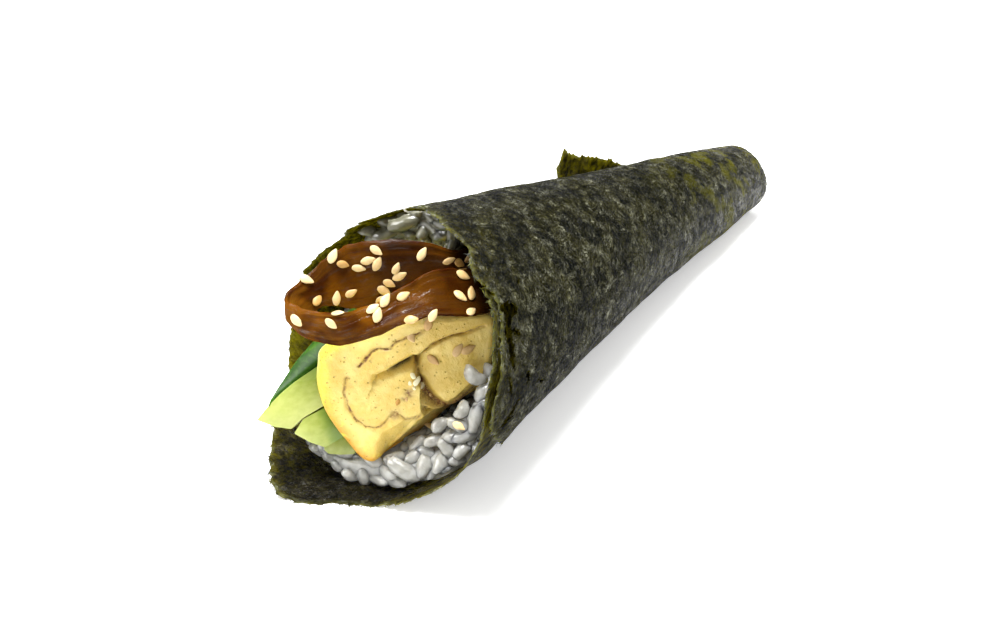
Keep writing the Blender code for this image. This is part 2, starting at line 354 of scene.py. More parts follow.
# one coordinate of a place: 0 along the roll, 1 across it, 2 up
def oneWay(paint, place, which):
    return paint.node("ShaderNodeSeparateXYZ", {}, {"Vector": place}, which)


view = {
    "camera": (-154.39, -136.97, 171.34),
    "tip": 54.8,            # degrees from looking straight down
    "turn": -51.6,
    "lens": 43.2,
}


def makeCamera():
    data = bpy.data.cameras.new("camera")
    data.lens = view["lens"]
    data.sensor_width = 36.0
    camera = bpy.data.objects.new("camera", data)
    camera.location = toFrame(view["camera"])
    camera.rotation_euler = (math.radians(view["tip"]), 0.0, math.radians(view["turn"]))
    bpy.context.scene.collection.objects.link(camera)
    bpy.context.scene.camera = camera


# power in watts, size and places in metres
lights = {
    "overhead": {"place": (-0.10, 0.05, 0.85), "power": 16.0, "size": 0.30, "sheenOnly": False},
    "behind": {"place": (0.52, 0.50, 0.40), "power": 7.0, "size": 0.35, "sheenOnly": True},
    "left": {"place": (-0.60, 0.35, 0.45), "power": 4.0, "size": 0.30, "sheenOnly": True},
}
# the walls of the studio are darker in reflections than the light they give
sky = {"colour": (1.0, 1.0, 0.99), "strength": 1.0, "mirrored": 0.22}


def makeLights():
    for name, lamp in lights.items():
        data = bpy.data.lights.new(name, "AREA")
        data.energy = lamp["power"]
        data.size = lamp["size"]
        light = bpy.data.objects.new(name, data)
        light.location = lamp["place"]
        light.rotation_mode = "QUATERNION"
        light.rotation_quaternion = Vector(lamp["place"]).to_track_quat("Z", "Y")
        light.visible_diffuse = not lamp["sheenOnly"]
        bpy.context.scene.collection.objects.link(light)
    world = bpy.data.worlds.new("studio")
    world.use_nodes = True
    background = world.node_tree.nodes["Background"]
    background.inputs["Color"].default_value = (*sky["colour"], 1.0)
    mirrored = Wire(world.node_tree).node("ShaderNodeLightPath", {}, {}, "Is Glossy Ray")
    strength = sky["strength"] - mirrored * (sky["strength"] - sky["mirrored"])
    world.node_tree.links.new(strength.socket, background.inputs["Strength"])
    bpy.context.scene.world = world
    bpy.context.scene.view_settings.view_transform = "Standard"


floorLook = {
    "low": (0.93, 0.93, 0.925),
    "high": (0.95, 0.95, 0.945),
    "glow": 0.34,           # keeps the shadows pale
}


def makeFloor():
    clearSelection()
    bpy.ops.mesh.primitive_plane_add(size=6.0)
    floor = nameNewPiece("floor")
    material, paint = newPaint("pale floor")
    grain = cloud(paint, objectPlace(paint), 40.0)
    shade = grain.blend(floorLook["low"], floorLook["high"])
    seen = paint.node("ShaderNodeLightPath", {}, {}, "Is Camera Ray") * floorLook["glow"]
    finishPaint(paint, paint.node("ShaderNodeBsdfPrincipled", {},
                                  {"Base Color": shade, "Roughness": 0.8, "Emission Strength": 1.0,
                                   "Emission Color": seen.blend((0.0, 0.0, 0.0), (1.0, 1.0, 1.0))}))
    floor.data.materials.append(material)


nori = {
    "thick": 0.24,
    "layerStep": 1.0,       # from one layer to the next
    "startAngle": 118.0,
    "firstTurn": -20.0,
    "oneLayerFrom": 206.0,
    "endTurn": 565.0,
    "easeLength": 12.0,
    "rollColumns": 440,
    "flapColumns": 24,      # across the loose last corner
    "rows": 100,
    "frontCrowding": 0.32,  # how closely the rows stand at the torn front edge
    "broadDents": 0.42,
    "smallDents": 0.2,
    "fineDents": 0.09,
    "ragged": 1.2,
    "tuck": 2.4,
    "tailFullness": 1.0,
}
# how far forward the front edge lies at each turn of the sheet
frontEdge = ((-20, -9.4), (-12, -10.0), (-6, -11.8), (1, -14.6), (8, -17.1), (13, -19.3), (17, -20.9),
             (27, -22.9), (35, -23.2), (45, -22.8), (60, -23.4), (76, -25.6), (92, -28.8), (105, -31.6),
             (118, -34.6), (131, -39.8), (139, -41.2), (145, -40.8), (162, -32.5), (177, -22.6),
             (184, -20.7), (194, -18.4), (209, -16.4), (216, -15.8), (224, -14.8), (233, -11.6), (239, -8.4),
             (246, -6.6), (252, -8.0), (257, -5.4), (261, -7.6), (264, -5.2), (268, -1.2), (273, 2.2),
             (284, 1.4), (293, -0.6), (300, -2.0), (307, -3.9), (316, -5.0), (323, -5.3), (330, -9.0),
             (335, -10.3), (343, -8.6), (349, -8.8), (352, -9.8), (359, -12.9), (368, -15.7),
             (374, -17.9), (377, -19.4), (386, -21.8), (390, -22.2), (394, -21.0), (398, -19.4),
             (403, -17.0), (409, -15.6), (413, -13.8), (470, 12.0), (565, 66.0))
flapHeight = ((66, 13.0), (68.6, 17.4), (70, 16.0), (75, 14.6), (79, 13.4), (83, 12.2), (88, 9.4), (92, 6.6),
              (99, 3.2), (112, 1.2), (124, 0.6))
# places where the edge stands away from the layer under it: turn, reach round, reach back, lift
lifts = ((372.0, 14.0, 5.0, 0.45), (335.0, 12.0, 5.0, 0.35), (312.0, 10.0, 4.0, 0.4))
# short tears: x, turn, half length along x, half width in degrees, slant in degrees a millimetre
tears = ((-6.6, 353.0, 2.6, 3.4, 0.5), (-8.4, 356.0, 1.3, 2.6, -1.0), (-10.7, 364.0, 1.1, 7.5, -2.0),
         (-11.8, 371.0, 0.8, 5.0, 2.0), (-9.4, 359.0, 1.0, 2.4, 0.0), (-14.0, 380.0, 0.7, 4.6, 3.0),
         (-13.4, 395.0, 3.4, 1.5, -1.2), (-1.5, 392.0, 1.6, 1.0, 1.6), (-14.5, 399.0, 2.6, 1.1, -0.6),
         (7.7, 420.0, 1.5, 0.8, 1.2), (-6.6, 384.0, 0.8, 2.2, 2.0), (-7.6, 362.0, 1.3, 1.6, 1.0),
         (0.6, 345.0, 0.8, 0.7, 2.0))
# long folds pressed into the roll: ends as x and angle, width and height
creases = (((47.4, -169.0), (50.0, 154.0), 0.7, 0.45), ((79.7, -124.0), (69.0, 150.0), 0.8, 0.45),
           ((28.0, 172.0), (66.0, 128.0), 0.9, 0.30), ((4.0, 165.0), (34.0, 150.0), 0.8, 0.30),
           ((12.0, 118.0), (60.0, 96.0), 1.1, 0.35), ((-6.0, 96.0), (22.0, 84.0), 0.7, 0.35),
           ((16.0, 140.0), (24.0, 104.0), 0.6, 0.28))


def layerInset(x, turn):
    if turn <= nori["oneLayerFrom"]:
        coveredFrom = readTable(frontEdge, turn + 360.0)
        return nori["layerStep"] * ease((x - coveredFrom + nori["easeLength"]) / nori["easeLength"])
    return nori["layerStep"] * (1.0 - ease((turn - nori["oneLayerFrom"]) / (360.0 - nori["oneLayerFrom"])))


def sheetEdge(turn):
    place = Vector((turn * 0.42, 0.0, 4.0))
    teeth = noise.noise(place * 4.3) * 0.45 + noise.noise(place * 1.7) * 0.55
    waves = noise.noise(place * 0.25) * 0.5
    return readTable(frontEdge, turn) + nori["ragged"] * (teeth + waves)


# the near side of the flap is tucked in, and the tail is a little fuller
def tuckIn(point):
    near = ease((-11.0 - point.x) / 9.0) * ease(-(point.y + 1.0) / 10.0) * ease((27.0 - point.z) / 12.0)
    return nori["tuck"] * near


def tailFullness(x):
    return nori["tailFullness"] * ease((x - 70.0) / 32.0)


def creaseHeight(x, angle):
    height = 0.0
    for (startX, startAngle), (endX, endAngle), width, tall in creases:
        turned = (angle - startAngle + 180.0) % 360.0 - 180.0
        swing = (endAngle - startAngle + 180.0) % 360.0 - 180.0
        round = rollRadius(x) * math.pi / 180.0
        dx, dy = endX - startX, swing * round
        share = ((x - startX) * dx + turned * round * dy) / (dx * dx + dy * dy)
        held = min(max(share, 0.0), 1.0)
        away = math.hypot(x - startX - dx * held, turned * round - dy * held)
        height += tall * math.exp(-(away / width) ** 2) * math.sin(math.pi * min(max(held, 0.03), 0.97))
    return height


def dents(point):
    broad = noise.noise(point / 15.0) * nori["broadDents"]
    small = noise.noise(point / 5.5 + Vector((7.0, 0.0, 0.0))) * nori["smallDents"]
    fine = noise.noise(point / 1.9 + Vector((0.0, 5.0, 0.0))) * nori["fineDents"]
    return broad + small + fine


def sheetPlace(across, along):
    columns = nori["rollColumns"] + nori["flapColumns"]
    column = across * columns
    turn = mix(nori["firstTurn"], nori["endTurn"], min(column / nori["rollColumns"], 1.0))
    loose = max(column - nori["rollColumns"], 0.0) / nori["flapColumns"]
    front = sheetEdge(turn)
    crowded = nori["frontCrowding"]
    share = along * crowded + (1.0 - crowded) * along ** 1.8
    tail = roll["tailX"] - 0.7 - 0.7 * noise.noise(Vector((turn * 0.35, 9.0, 0.0)))
    return turn, loose, front, mix(front, tail, share)


def sheetPoint(across, along):
    turn, loose, front, x = sheetPlace(across, along)
    angle = nori["startAngle"] - turn
    inset = layerInset(x, turn)
    smooth = rollPoint(x, angle, inset)
    lift = sum(height * math.exp(-((turn - at) / wide) ** 2) * ease(1.0 - (x - front) / back)
               for at, wide, back, height in lifts)
    raised = dents(smooth) + lift + tailFullness(x) + (creaseHeight(x, angle) if turn > 200.0 else 0.0)
    point = rollPoint(x, angle, inset - raised)
    point.y += tuckIn(point)
    if loose > 0.0:
        turned = math.radians(angle)
        onward = Vector((0.0, math.cos(turned), -math.sin(turned)))
        ragged = 1.0 + 0.05 * noise.noise(Vector((x * 0.5, 0.0, 0.0)))
        ragged += 0.06 * noise.noise(Vector((x * 1.7, 3.0, 0.0)))
        point += onward * readTable(flapHeight, x) * loose * min(ragged, 1.1)
        point.y += 1.2 * loose * loose * math.sin(x * 0.21)
    point.z = max(point.z, floorGap)
    return point


# the pattern lies on the flat sheet, in metres along and round the roll
def sheetPattern(across, along):
    turn, loose, front, x = sheetPlace(across, along)
    round = math.radians(turn - 360.0) * rollRadius(x)
    return (x * mm, (round + loose * readTable(flapHeight, x)) * mm)


# how near to the torn edge a point is, 1 at the edge itself
def edgeShare(across, along):
    turn, loose, front, x = sheetPlace(across, along)
    torn = 1.0 - min((x - front) / 2.6, 1.0)
    return max(torn, ease((loose - 0.85) / 0.15))


# painted shade: the first turn is painted near black where the next one lies over it
def coveredShadeShare(across, along):
    turn, loose, front, x = sheetPlace(across, along)
    if turn > nori["oneLayerFrom"]:
        return 0.0
    return ease((x - readTable(frontEdge, turn + 360.0) - 0.6) / 1.0)


def isTorn(x, turn):
    for atX, atTurn, long, wide, slant in tears:
        along = (x - atX) / long
        aside = (turn - atTurn - slant * (x - atX)) / wide
        if along * along + aside * aside < 1.0:
            return True
    return False


def makeSheet():
    columns = nori["rollColumns"] + nori["flapColumns"]
    sheet = bendGrid("nori_sheet", columns, nori["rows"], sheetPoint, sheetPattern)
    places = [(row % (columns + 1) / columns, row // (columns + 1) / nori["rows"])
              for row in range(len(sheet.data.vertices))]
    writeValues(sheet, "edge", [edgeShare(*place) for place in places])
    writeValues(sheet, "covered", [coveredShadeShare(*place) for place in places])
    startSelecting(sheet)
    mesh = sheet.data
    pattern = mesh.uv_layers["pattern"].data
    for face in mesh.polygons:
        x = sum(pattern[corner].uv.x for corner in face.loop_indices) / 4.0 / mm
        round = sum(pattern[corner].uv.y for corner in face.loop_indices) / 4.0 / mm
        face.select = isTorn(x, 360.0 + math.degrees(round / rollRadius(x)))
    bpy.ops.object.mode_set(mode="EDIT")
    bpy.ops.mesh.delete(type="FACE")
    bpy.ops.mesh.select_mode(type="VERT")
    bpy.ops.object.mode_set(mode="OBJECT")
    middle = toFrame((60.0, 0.0, 20.0))
    outward = sum((face.center - middle).dot(face.normal) for face in mesh.polygons)
    if outward < 0.0:
        mesh.flip_normals()
    sheet.data.materials.append(paintNori("dried seaweed", noriLook["outside"]))
    sheet.data.materials.append(paintNori("seaweed inside", noriLook["inside"]))
    applyModifier(sheet, "SOLIDIFY", thickness=nori["thick"] * mm, offset=-1.0, use_rim=True,
                  material_offset=1)
    shadeSmooth(sheet)
    settle(sheet, "nori", "nori_wrap")
    print("seaweed sheet rolled,", len(sheet.data.polygons), "faces")


noriLook = {
    "outside": {
        "dark": (0.0022, 0.0029, 0.0030),
        "olive": (0.010, 0.0092, 0.0030),
        # strands: the sheet's lighter fibre, and painted glints off its crinkles
        "strandAndGlint": (0.165, 0.16, 0.072),
        "paleStrandGlint": (0.42, 0.42, 0.28),
        "cover": 1.1,           # how much of it the strands cover
        "depth": 0.40,
        "rough": 0.24,
        "shine": 0.35,
    },
    "inside": {
        "dark": (0.0022, 0.0020, 0.0014),
        "olive": (0.008, 0.0065, 0.0022),
        # strands: the sheet's lighter fibre, and painted glints off its crinkles
        "strandAndGlint": (0.08, 0.066, 0.024),
        "paleStrandGlint": (0.24, 0.21, 0.10),
        "cover": 0.75,
        "depth": 0.42,
        "rough": 0.24,
        "shine": 0.60,
    },
    # painted light: the torn edge is painted paler yellow-green, for its thin fibre and for light shining
    # through it
    "edge": (0.13, 0.135, 0.05),
    # painted light: thin patches towards the tail are painted yellow-green, for their thinness and for light
    # shining through them
    "thinGlowGreen": (0.12, 0.115, 0.006),
    "litWall": (0.30, 0.26, 0.008),     # the far wall of the mouth, lit through
    "glow": (0.95, 0.88, 0.06),     # light that comes through
}


def paintNori(name, look):
    material, paint = newPaint(name)
    sheet = patternPlace(paint)
    drift = cloud(paint, sheet, 5.0, 3.0, out="Color")
    pushed = paint.node("ShaderNodeVectorMath", {"operation": "MULTIPLY_ADD"},
                        {0: drift, 1: (0.009, 0.009, 0.0), 2: sheet})
    steep = strands(paint, pushed, 3.2, 0.80, 78.0, 3.0).ridge(0.015)
    slanted = strands(paint, pushed, 3.0, 0.75, 48.0, 3.0).ridge(0.013)
    along = strands(paint, pushed, 3.2, 0.70, 8.0, 3.0).ridge(0.010)
    curled = cloud(paint, pushed, 1.5, 3.0, 0.55, 0.6).ridge(0.012)
    crumbs = cloud(paint, sheet, 0.50, 2.0, 0.6).step(0.60, 0.72)
    patches = cloud(paint, sheet, 9.0, 3.0, 0.6).step(0.44, 0.58)
    mottled = cloud(paint, sheet, 2.6, 3.0, 0.6).step(0.44, 0.60)
    fibre = (steep * 0.9 + slanted * 0.8 + along * 0.6 + curled * 0.8 + crumbs * 0.45).clamp()
    torn = readValue(paint, "edge")
    frayed = torn.step(0.10, 0.80) * 0.5
    shown = (fibre * (patches * 0.45 + mottled * 0.40 + 0.15 + frayed) * look["cover"]).clamp()
    base = (patches * 0.6 + mottled * 0.4).blend(look["dark"], look["olive"])
    # the pale strands are partly the sheet's lighter fibre and partly painted glints off its crinkles
    strandAndGlint = cloud(paint, sheet, 3.0, 2.0).step(0.45, 0.62).blend(look["strandAndGlint"], look["paleStrandGlint"])
    flecked = shown.blend(base, strandAndGlint)
    # thin patches towards the tail: their own thinness and painted light shining through
    tailward = oneWay(paint, sheet, 0).step(0.062, 0.112)
    thin = tailward * cloud(paint, sheet, 8.0, 4.0, 0.6).step(0.50, 0.60)
    greenedGlow = (thin * 0.75).blend(flecked, noriLook["thinGlowGreen"])
    # the torn rim: its thin fibre and painted light shining through it
    rim = (torn.step(0.45, 0.95) * (mottled * 0.75 + 0.05)).blend(greenedGlow, noriLook["edge"])
    if look is noriLook["inside"]:
        across = oneWay(paint, objectPlace(paint), 1)
        back = oneWay(paint, objectPlace(paint), 0)
        height = oneWay(paint, objectPlace(paint), 2)
        lit = across.step(0.012, 0.020) * (1.0 - back.step(-0.066, -0.050)) * height.step(0.010, 0.018)
        lit = lit * (mottled * 0.5 + 0.4)
        rim = lit.blend(rim, noriLook["litWall"])
    # painted shade: near black wherever the next turn lies over this one
    covered = readValue(paint, "covered")
    shaded = (covered * 0.92).blend(rim, (0.0006, 0.0006, 0.0005))
    relief = (steep * 0.35 + slanted * 0.30 + along * 0.25 + curled * 0.3
              + cloud(paint, pushed, 0.55, 3.0, 0.65) * 1.1 + cloud(paint, pushed, 1.8, 2.0) * 1.8)
    surface = bump(paint, relief, look["depth"], 1.0)
    dull = paint.node("ShaderNodeBsdfPrincipled", {},
                      {"Base Color": shaded, "Roughness": 0.6, "Normal": surface, "Specular IOR Level": 0.0})
    glazed = paint.node("ShaderNodeBsdfPrincipled", {},
                        {"Base Color": shaded, "Roughness": look["rough"], "Normal": surface,
                         "Specular IOR Level": 0.5})
    low = 1.0 - oneWay(paint, objectPlace(paint), 2).step(0.004, 0.030)
    glints = fibre * (mottled * 0.6 + 0.4) * look["shine"] + low * (0.30 + mottled * 0.45) + 0.04
    front = paint.node("ShaderNodeMixShader", {}, {0: glints * (1.0 - covered), 1: dull, 2: glazed})
    through = paint.node("ShaderNodeBsdfTranslucent", {},
                         {"Color": colour(noriLook["glow"]), "Normal": surface})
    light = (cloud(paint, sheet, 1.6, 3.0, 0.7).step(0.35, 0.75) * 0.26 + 0.04 + torn * 0.12
             + thin * 0.16)
    finishPaint(paint, paint.node("ShaderNodeMixShader", {}, {0: light, 1: front, 2: through}))
    return material


# thin hairs and scraps that stand out of the torn edge
hairs = {
    "seed": 23,
    "count": 620,
    "length": (0.5, 1.9),
    "width": (0.14, 0.42),
    "flat": 0.10,           # how thick a hair is
    "rooted": 0.35,         # how far it starts back from the edge
    "dark": (0.016, 0.018, 0.006),
    "pale": (0.14, 0.14, 0.035),
}


def makeHairs():
    draw = random.Random(hairs["seed"])
    clearSelection()
    bpy.ops.mesh.primitive_cone_add(vertices=4, radius1=0.5, radius2=0.1, depth=1.0, end_fill_type="NGON")
    model = nameNewPiece("hair")
    made = []
    for hair in range(hairs["count"]):
        across = draw.uniform(0.0, 0.90)
        edge = sheetPoint(across, 0.0)
        back = sheetPoint(across, 0.02)
        beside = sheetPoint(min(across + 0.003, 1.0), 0.0)
        outward = (edge - back).normalized()
        sideways = (beside - edge).normalized()
        normal = outward.cross(sideways).normalized()
        lean = draw.gauss(0.0, 0.75)
        direction = outward * math.cos(lean) + sideways * math.sin(lean) + normal * draw.uniform(-0.25, 0.3)
        long = draw.uniform(*hairs["length"])
        wide = draw.uniform(*hairs["width"]) * (1.0 if long < 1.1 else 0.6)
        turning = lieAlong(direction, normal)
        copy = copyPiece(model, "hair%d" % len(made))
        root = edge - direction.normalized() * hairs["rooted"]
        for corner in copy.data.vertices:
            x, y, z = corner.co
            place = root + turning @ Vector((x * wide, y * hairs["flat"], (z + 0.5) * long))
            place.z = max(place.z, floorGap)
            corner.co = toFrame(place)
        made.append(copy)
    bpy.data.objects.remove(model)
    scraps = joinPieces("nori_scraps", made)
    material, paint = newPaint("seaweed hairs")
    tint = cloud(paint, objectPlace(paint), 1.6, 1.0).step(0.4, 0.62)
    shade = tint.blend(hairs["dark"], hairs["pale"])
    finishPaint(paint, paint.node("ShaderNodeBsdfPrincipled", {}, {"Base Color": shade, "Roughness": 0.5}))
    scraps.data.materials.append(material)
    settle(scraps, "nori")
    print("torn edge frayed,", len(made), "hairs")


rice = {
    "seed": 5,
    "coreInset": 0.25,      # the core lies this far inside the rice's outline
    "coreVoxel": 0.9,
    "coreRelief": 0.5,
    "length": 6.8,
    "width": 3.0,
    "height": 2.6,
    "open": 0.25,           # free space that a place needs before a grain lies there
    "clear": 0.35,          # between the grains and the seaweed
    "aroundByHand": 3.0,    # no other grain lies closer than this to one of the listed grains
    "grainWhite": 0.29,
    "coreWhite": 0.40,
    "byHand": (14, 11),     # sides and rings of a listed grain
    "layers": (             # spacing, how deep it sits, tries, and sides and rings of a grain
        (2.1, 1.5, 2600, (8, 6)),
        (1.95, 0.6, 3400, (10, 7)),
    ),
}
# grains laid one by one over the mouth: sideways, up, towards, length, turn in degrees
laidGrains = (
    (1.0, -26.6, -3.9, 8.8, -30), (5.6, -25.9, -3.0, 5.2, 78), (3.2, -24.1, -4.5, 4.4, 35),
    (9.3, -24.4, -2.0, 5.8, 70), (12.1, -24.6, -2.0, 3.8, 0), (11.1, -19.6, -1.0, 4.6, 20),
    (8.8, -17.1, -2.5, 4.4, 30), (14.2, -19.1, 0.0, 6.2, 25), (15.8, -15.6, 1.2, 7.2, 75),
    (17.2, -10.6, 1.5, 5.0, 62), (15.6, -7.4, 2.5, 5.2, -35), (18.6, -6.3, 1.0, 3.0, 70),
    (13.4, -14.1, 0.5, 4.0, 60), (10.1, -21.9, -1.5, 4.8, -60), (7.6, -20.5, -3.5, 4.8, 10),
    (5.7, -23.0, -4.5, 4.4, -20), (4.0, -21.9, -5.5, 4.2, 40), (13.1, -22.4, -1.0, 5.0, 40),
    (7.2, -27.7, -3.4, 3.6, 85), (-0.7, -24.7, -5.5, 4.4, 20), (-17.0, -23.2, -11.3, 5.0, -25),
    (-14.1, -24.8, -10.5, 5.0, -15), (-10.6, -23.4, -8.5, 4.8, 15), (-8.1, -25.2, -8.5, 4.8, -55),
    (-12.3, -26.2, -9.8, 4.4, 5), (-5.5, -24.6, -6.5, 4.4, -40), (1.0, 23.6, -4.8, 7.6, 15),
    (-3.3, 21.6, -9.0, 5.4, 20), (5.4, 22.4, -5.5, 5.2, 60), (-6.4, 22.4, -10.5, 5.0, -25),
    (12.4, -17.2, 0.3, 5.4, -25), (16.8, -13.2, 1.4, 4.6, 50), (-15.4, -22.0, -10.2, 4.4, 40),
)


def modelGrain(sides, rings):
    clearSelection()
    bpy.ops.mesh.primitive_uv_sphere_add(segments=sides, ring_count=rings, radius=1.0)
    grain = nameNewPiece("grain")
    for corner in grain.data.vertices:      # blunt ends and a flatter belly
        height = corner.co.z
        fuller = (1.0 - height * height) ** -0.12 if abs(height) < 0.999 else 1.0
        belly = 0.82 if corner.co.y < 0.0 else 1.0
        corner.co = (corner.co.x * fuller, corner.co.y * fuller * belly, height)
    return grain


def freeSpace(trees, place):
    nearest = min((tree.find_nearest(place)[3] for tree in trees), default=1.0)
    return nearest / mm


def lieAlong(direction, up):
    axis = direction.normalized()
    side = up.cross(axis).normalized()
    return Matrix((side, axis.cross(side), axis)).transposed()


# the wall of seaweed holds every point of the rice back
def keepInside(point):
    dy = rollBow(point.x) - point.y
    dz = rollRadius(point.x) * roll["flatShare"] - point.z
    angle = math.degrees(math.atan2(dy, dz))
    turn = (nori["startAngle"] - angle) % 360.0
    if point.x < readTable(frontEdge, turn) - 1.5:
        return Vector((point.x, point.y, max(point.z, 0.4)))
    inset = layerInset(point.x, turn) + nori["thick"] + rice["clear"]
    limit = rollRadius(point.x) - inset
    if dz > 0.0:
        limit = min(limit, (rollRadius(point.x) * roll["flatShare"] - inset) * math.hypot(dy, dz) / dz)
    limit -= tuckIn(point) * 0.8
    held = min(1.0, limit / max(math.hypot(dy, dz), 0.01))
    return Vector((point.x, rollBow(point.x) - dy * held,
                   rollRadius(point.x) * roll["flatShare"] - dz * held))


# one more grain, with its own size, bend and dents
def copyGrain(grain, place, turning, draw, name, length=0.0):
    copy = copyPiece(grain, name)
    size = 1.0 + max(length - 6.0, 0.0) * 0.06
    long = (length if length > 0.0 else rice["length"] * draw.uniform(0.75, 1.12)) * 0.5
    wide = rice["width"] * draw.uniform(0.85, 1.12) * size * 0.5
    high = rice["height"] * draw.uniform(0.85, 1.10) * size * 0.5
    curve = draw.uniform(-0.40, 0.40)
    taper = draw.uniform(-0.14, 0.14)
    shift = Vector((draw.uniform(0.0, 90.0), draw.uniform(0.0, 90.0), 0.0))
    for corner in copy.data.vertices:
        x, y, z = corner.co
        narrow = 1.0 + taper * z
        point = Vector((x * wide * narrow + curve * z * z * wide, y * high * narrow, z * long))
        point *= 1.0 + 0.26 * noise.noise(point / 1.6 + shift) + 0.10 * noise.noise(point / 0.7 + shift)
        corner.co = toFrame(keepInside(fromFrame(place) + turning @ point))
    return copy


def findSurface(piece):
    mesh = piece.data
    return BVHTree.FromPolygons([corner.co for corner in mesh.vertices],
                                [list(face.vertices) for face in mesh.polygons])


# whether anything in the way of the mouth or the tail hides a place
def canBeSeen(place, wrap):
    ways = (mouthToward, mouthToward + mouthUp * 0.7, mouthToward - mouthUp * 0.7,
            mouthToward + mouthSideways * 0.7, mouthToward - mouthSideways * 0.7, Vector((1.0, 0.0, 0.2)))
    return any(wrap.ray_cast(place, way.normalized(), 0.12)[0] is None for way in ways)


def openPlaces(node, others, wrap, draw, count):
    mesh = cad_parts[node].data
    mesh.calc_loop_triangles()
    found = []
    for triangle in mesh.loop_triangles:
        corners = [mesh.vertices[k].co for k in triangle.vertices]
        middle = (corners[0] + corners[1] + corners[2]) / 3.0
        if not canBeSeen(middle + triangle.normal * 0.8 * mm, wrap):
            continue
        if freeSpace(others, middle + triangle.normal * 1.6 * mm) > rice["open"]:
            found.append((triangle.area, corners, triangle.normal.copy()))
    areas = [area for area, corners, normal in found]
    places = []
    for area, corners, normal in draw.choices(found, weights=areas, k=count):
        first, second = sorted((draw.random(), draw.random()))
        place = (corners[0] * first + corners[1] * (second - first) + corners[2] * (1.0 - second))
        places.append((place, normal))
    return places


def bestTurn(place, normal, others, draw):
    best, room = None, -0.4
    for attempt in range(10):
        flat = normal.orthogonal().normalized()
        flat.rotate(Matrix.Rotation(draw.uniform(0.0, math.tau), 3, normal))
        direction = (flat + normal * draw.uniform(-0.45, 0.45)).normalized()
        reach = direction * rice["length"] * 0.36 * mm
        here = min(freeSpace(others, place + reach), freeSpace(others, place - reach))
        here = min(here, freeSpace(others, place) - 0.7)
        if here > room:
            best, room = direction, here
    return best


def makeRice():
    draw = random.Random(rice["seed"])
    others = [findSurface(node) for name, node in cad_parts.items() if name != "rice"]
    wrap = findSurface(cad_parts["nori_wrap"])
    grain = modelGrain(*rice["byHand"])
    laid, grains = [], []
    for sideways, up, toward, length, turn in laidGrains:
        place = toFrame(fromMouth(sideways, up, toward))
        turned = math.radians(turn)
        direction = mouthSideways * math.cos(turned) + mouthUp * math.sin(turned)
        direction += mouthToward * draw.uniform(-0.3, 0.3)
        laid.append(place)
        grains.append(copyGrain(grain, place, lieAlong(direction, mouthToward), draw,
                                "grain%d" % len(grains), length))
    byHand = len(laid)
    bpy.data.objects.remove(grain)
    for spacing, sink, tries, fineness in rice["layers"]:
        grain = modelGrain(*fineness)
        started = len(laid)
        for place, normal in openPlaces("rice", others, wrap, draw, tries):
            place = place - normal * sink * mm
            if any((place - other).length < spacing * mm for other in laid[started:]):
                continue
            if any((place - other).length < rice["aroundByHand"] * mm for other in laid[:byHand]):
                continue
            direction = bestTurn(place, normal, others, draw)
            if direction is None:
                continue
            turning = lieAlong(direction, normal)
            laid.append(place)
            grains.append(copyGrain(grain, place, turning, draw, "grain%d" % len(grains)))
        bpy.data.objects.remove(grain)
    loose = joinPieces("rice_grains", grains)
    shadeSmooth(loose)
    loose.data.materials.append(paintRice("rice grains", rice["grainWhite"]))
    settle(loose, "rice")
    print("rice laid,", len(grains), "grains,", len(loose.data.polygons), "faces")


def makeRiceCore():
    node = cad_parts["rice"]
    core = copyPiece(node, "rice_core")
    for key in list(core.keys()):
        del core[key]
    core.parent = None
    core.data.materials.clear()
    closeUp(core)
    applyModifier(core, "REMESH", mode="VOXEL", voxel_size=rice["coreVoxel"] * mm)
    corners = core.data.vertices
    moves = []
    for corner in corners:
        at = corner.co / mm
        near = noise.voronoi(Vector((at.x / 4.4, at.y / 3.2, at.z / 3.2)))[0]
        swell = rice["coreRelief"] * (0.6 - min(near[0] * 1.5, 1.0))
        moves.append(corner.co + corner.normal * (swell - rice["coreInset"]) * mm)
    for corner, place in zip(corners, moves):
        corner.co = place
    shadeSmooth(core)
    core.data.materials.append(paintRice("rice core", rice["coreWhite"]))
    settle(core, "rice", "rice")
    print("rice core shaped")


# painted shade for the rice under the roof of the roll
paintedRiceShade = (0.085, 0.082, 0.040)


def paintRice(name, whiteness):
    material, paint = newPaint(name)
    place = objectPlace(paint)
    milky = cloud(paint, place, 2.2, 2.0).step(0.35, 0.7)
    tint = milky.blend((whiteness, whiteness * 0.99, whiteness * 0.90),
                       (whiteness * 1.28, whiteness * 1.27, whiteness * 1.18))
    height = oneWay(paint, place, 2)
    shade = height.step(0.036, 0.044) * 0.80        # painted shade: under the roof of the roll the rice is painted a darker green-grey
    tintAndShade = shade.blend(tint, paintedRiceShade)
    relief = cloud(paint, place, 1.1, 2.0) * 0.8 + cloud(paint, place, 0.40, 1.0) * 0.35
    surface = bump(paint, relief, 0.22, 0.8)
    finishPaint(paint, paint.node(
        "ShaderNodeBsdfPrincipled", {"subsurface_method": "RANDOM_WALK"},
        {"Base Color": tintAndShade, "Roughness": 0.22, "Normal": surface, "Subsurface Weight": 1.0,
         "Subsurface Radius": (1.0, 0.95, 0.85), "Subsurface Scale": 0.0045, "Coat Weight": 0.4,
         "Coat Roughness": 0.08}))
    return material


egg = {
    "at": (-19.7, -5.2, 24.2),
    "face": (-0.677, -0.694, 0.245),    # the way its cut face looks
    "run": (1.0, 0.02, -0.07),          # the way the block runs into the roll
    "length": 40.0,
    "shrink": 0.0075,
    "round": 1.7,
    "columns": 320,
    "faceRows": 74,
    "edgeRows": 6,
    "sideRows": 18,
    "backRows": 4,
}
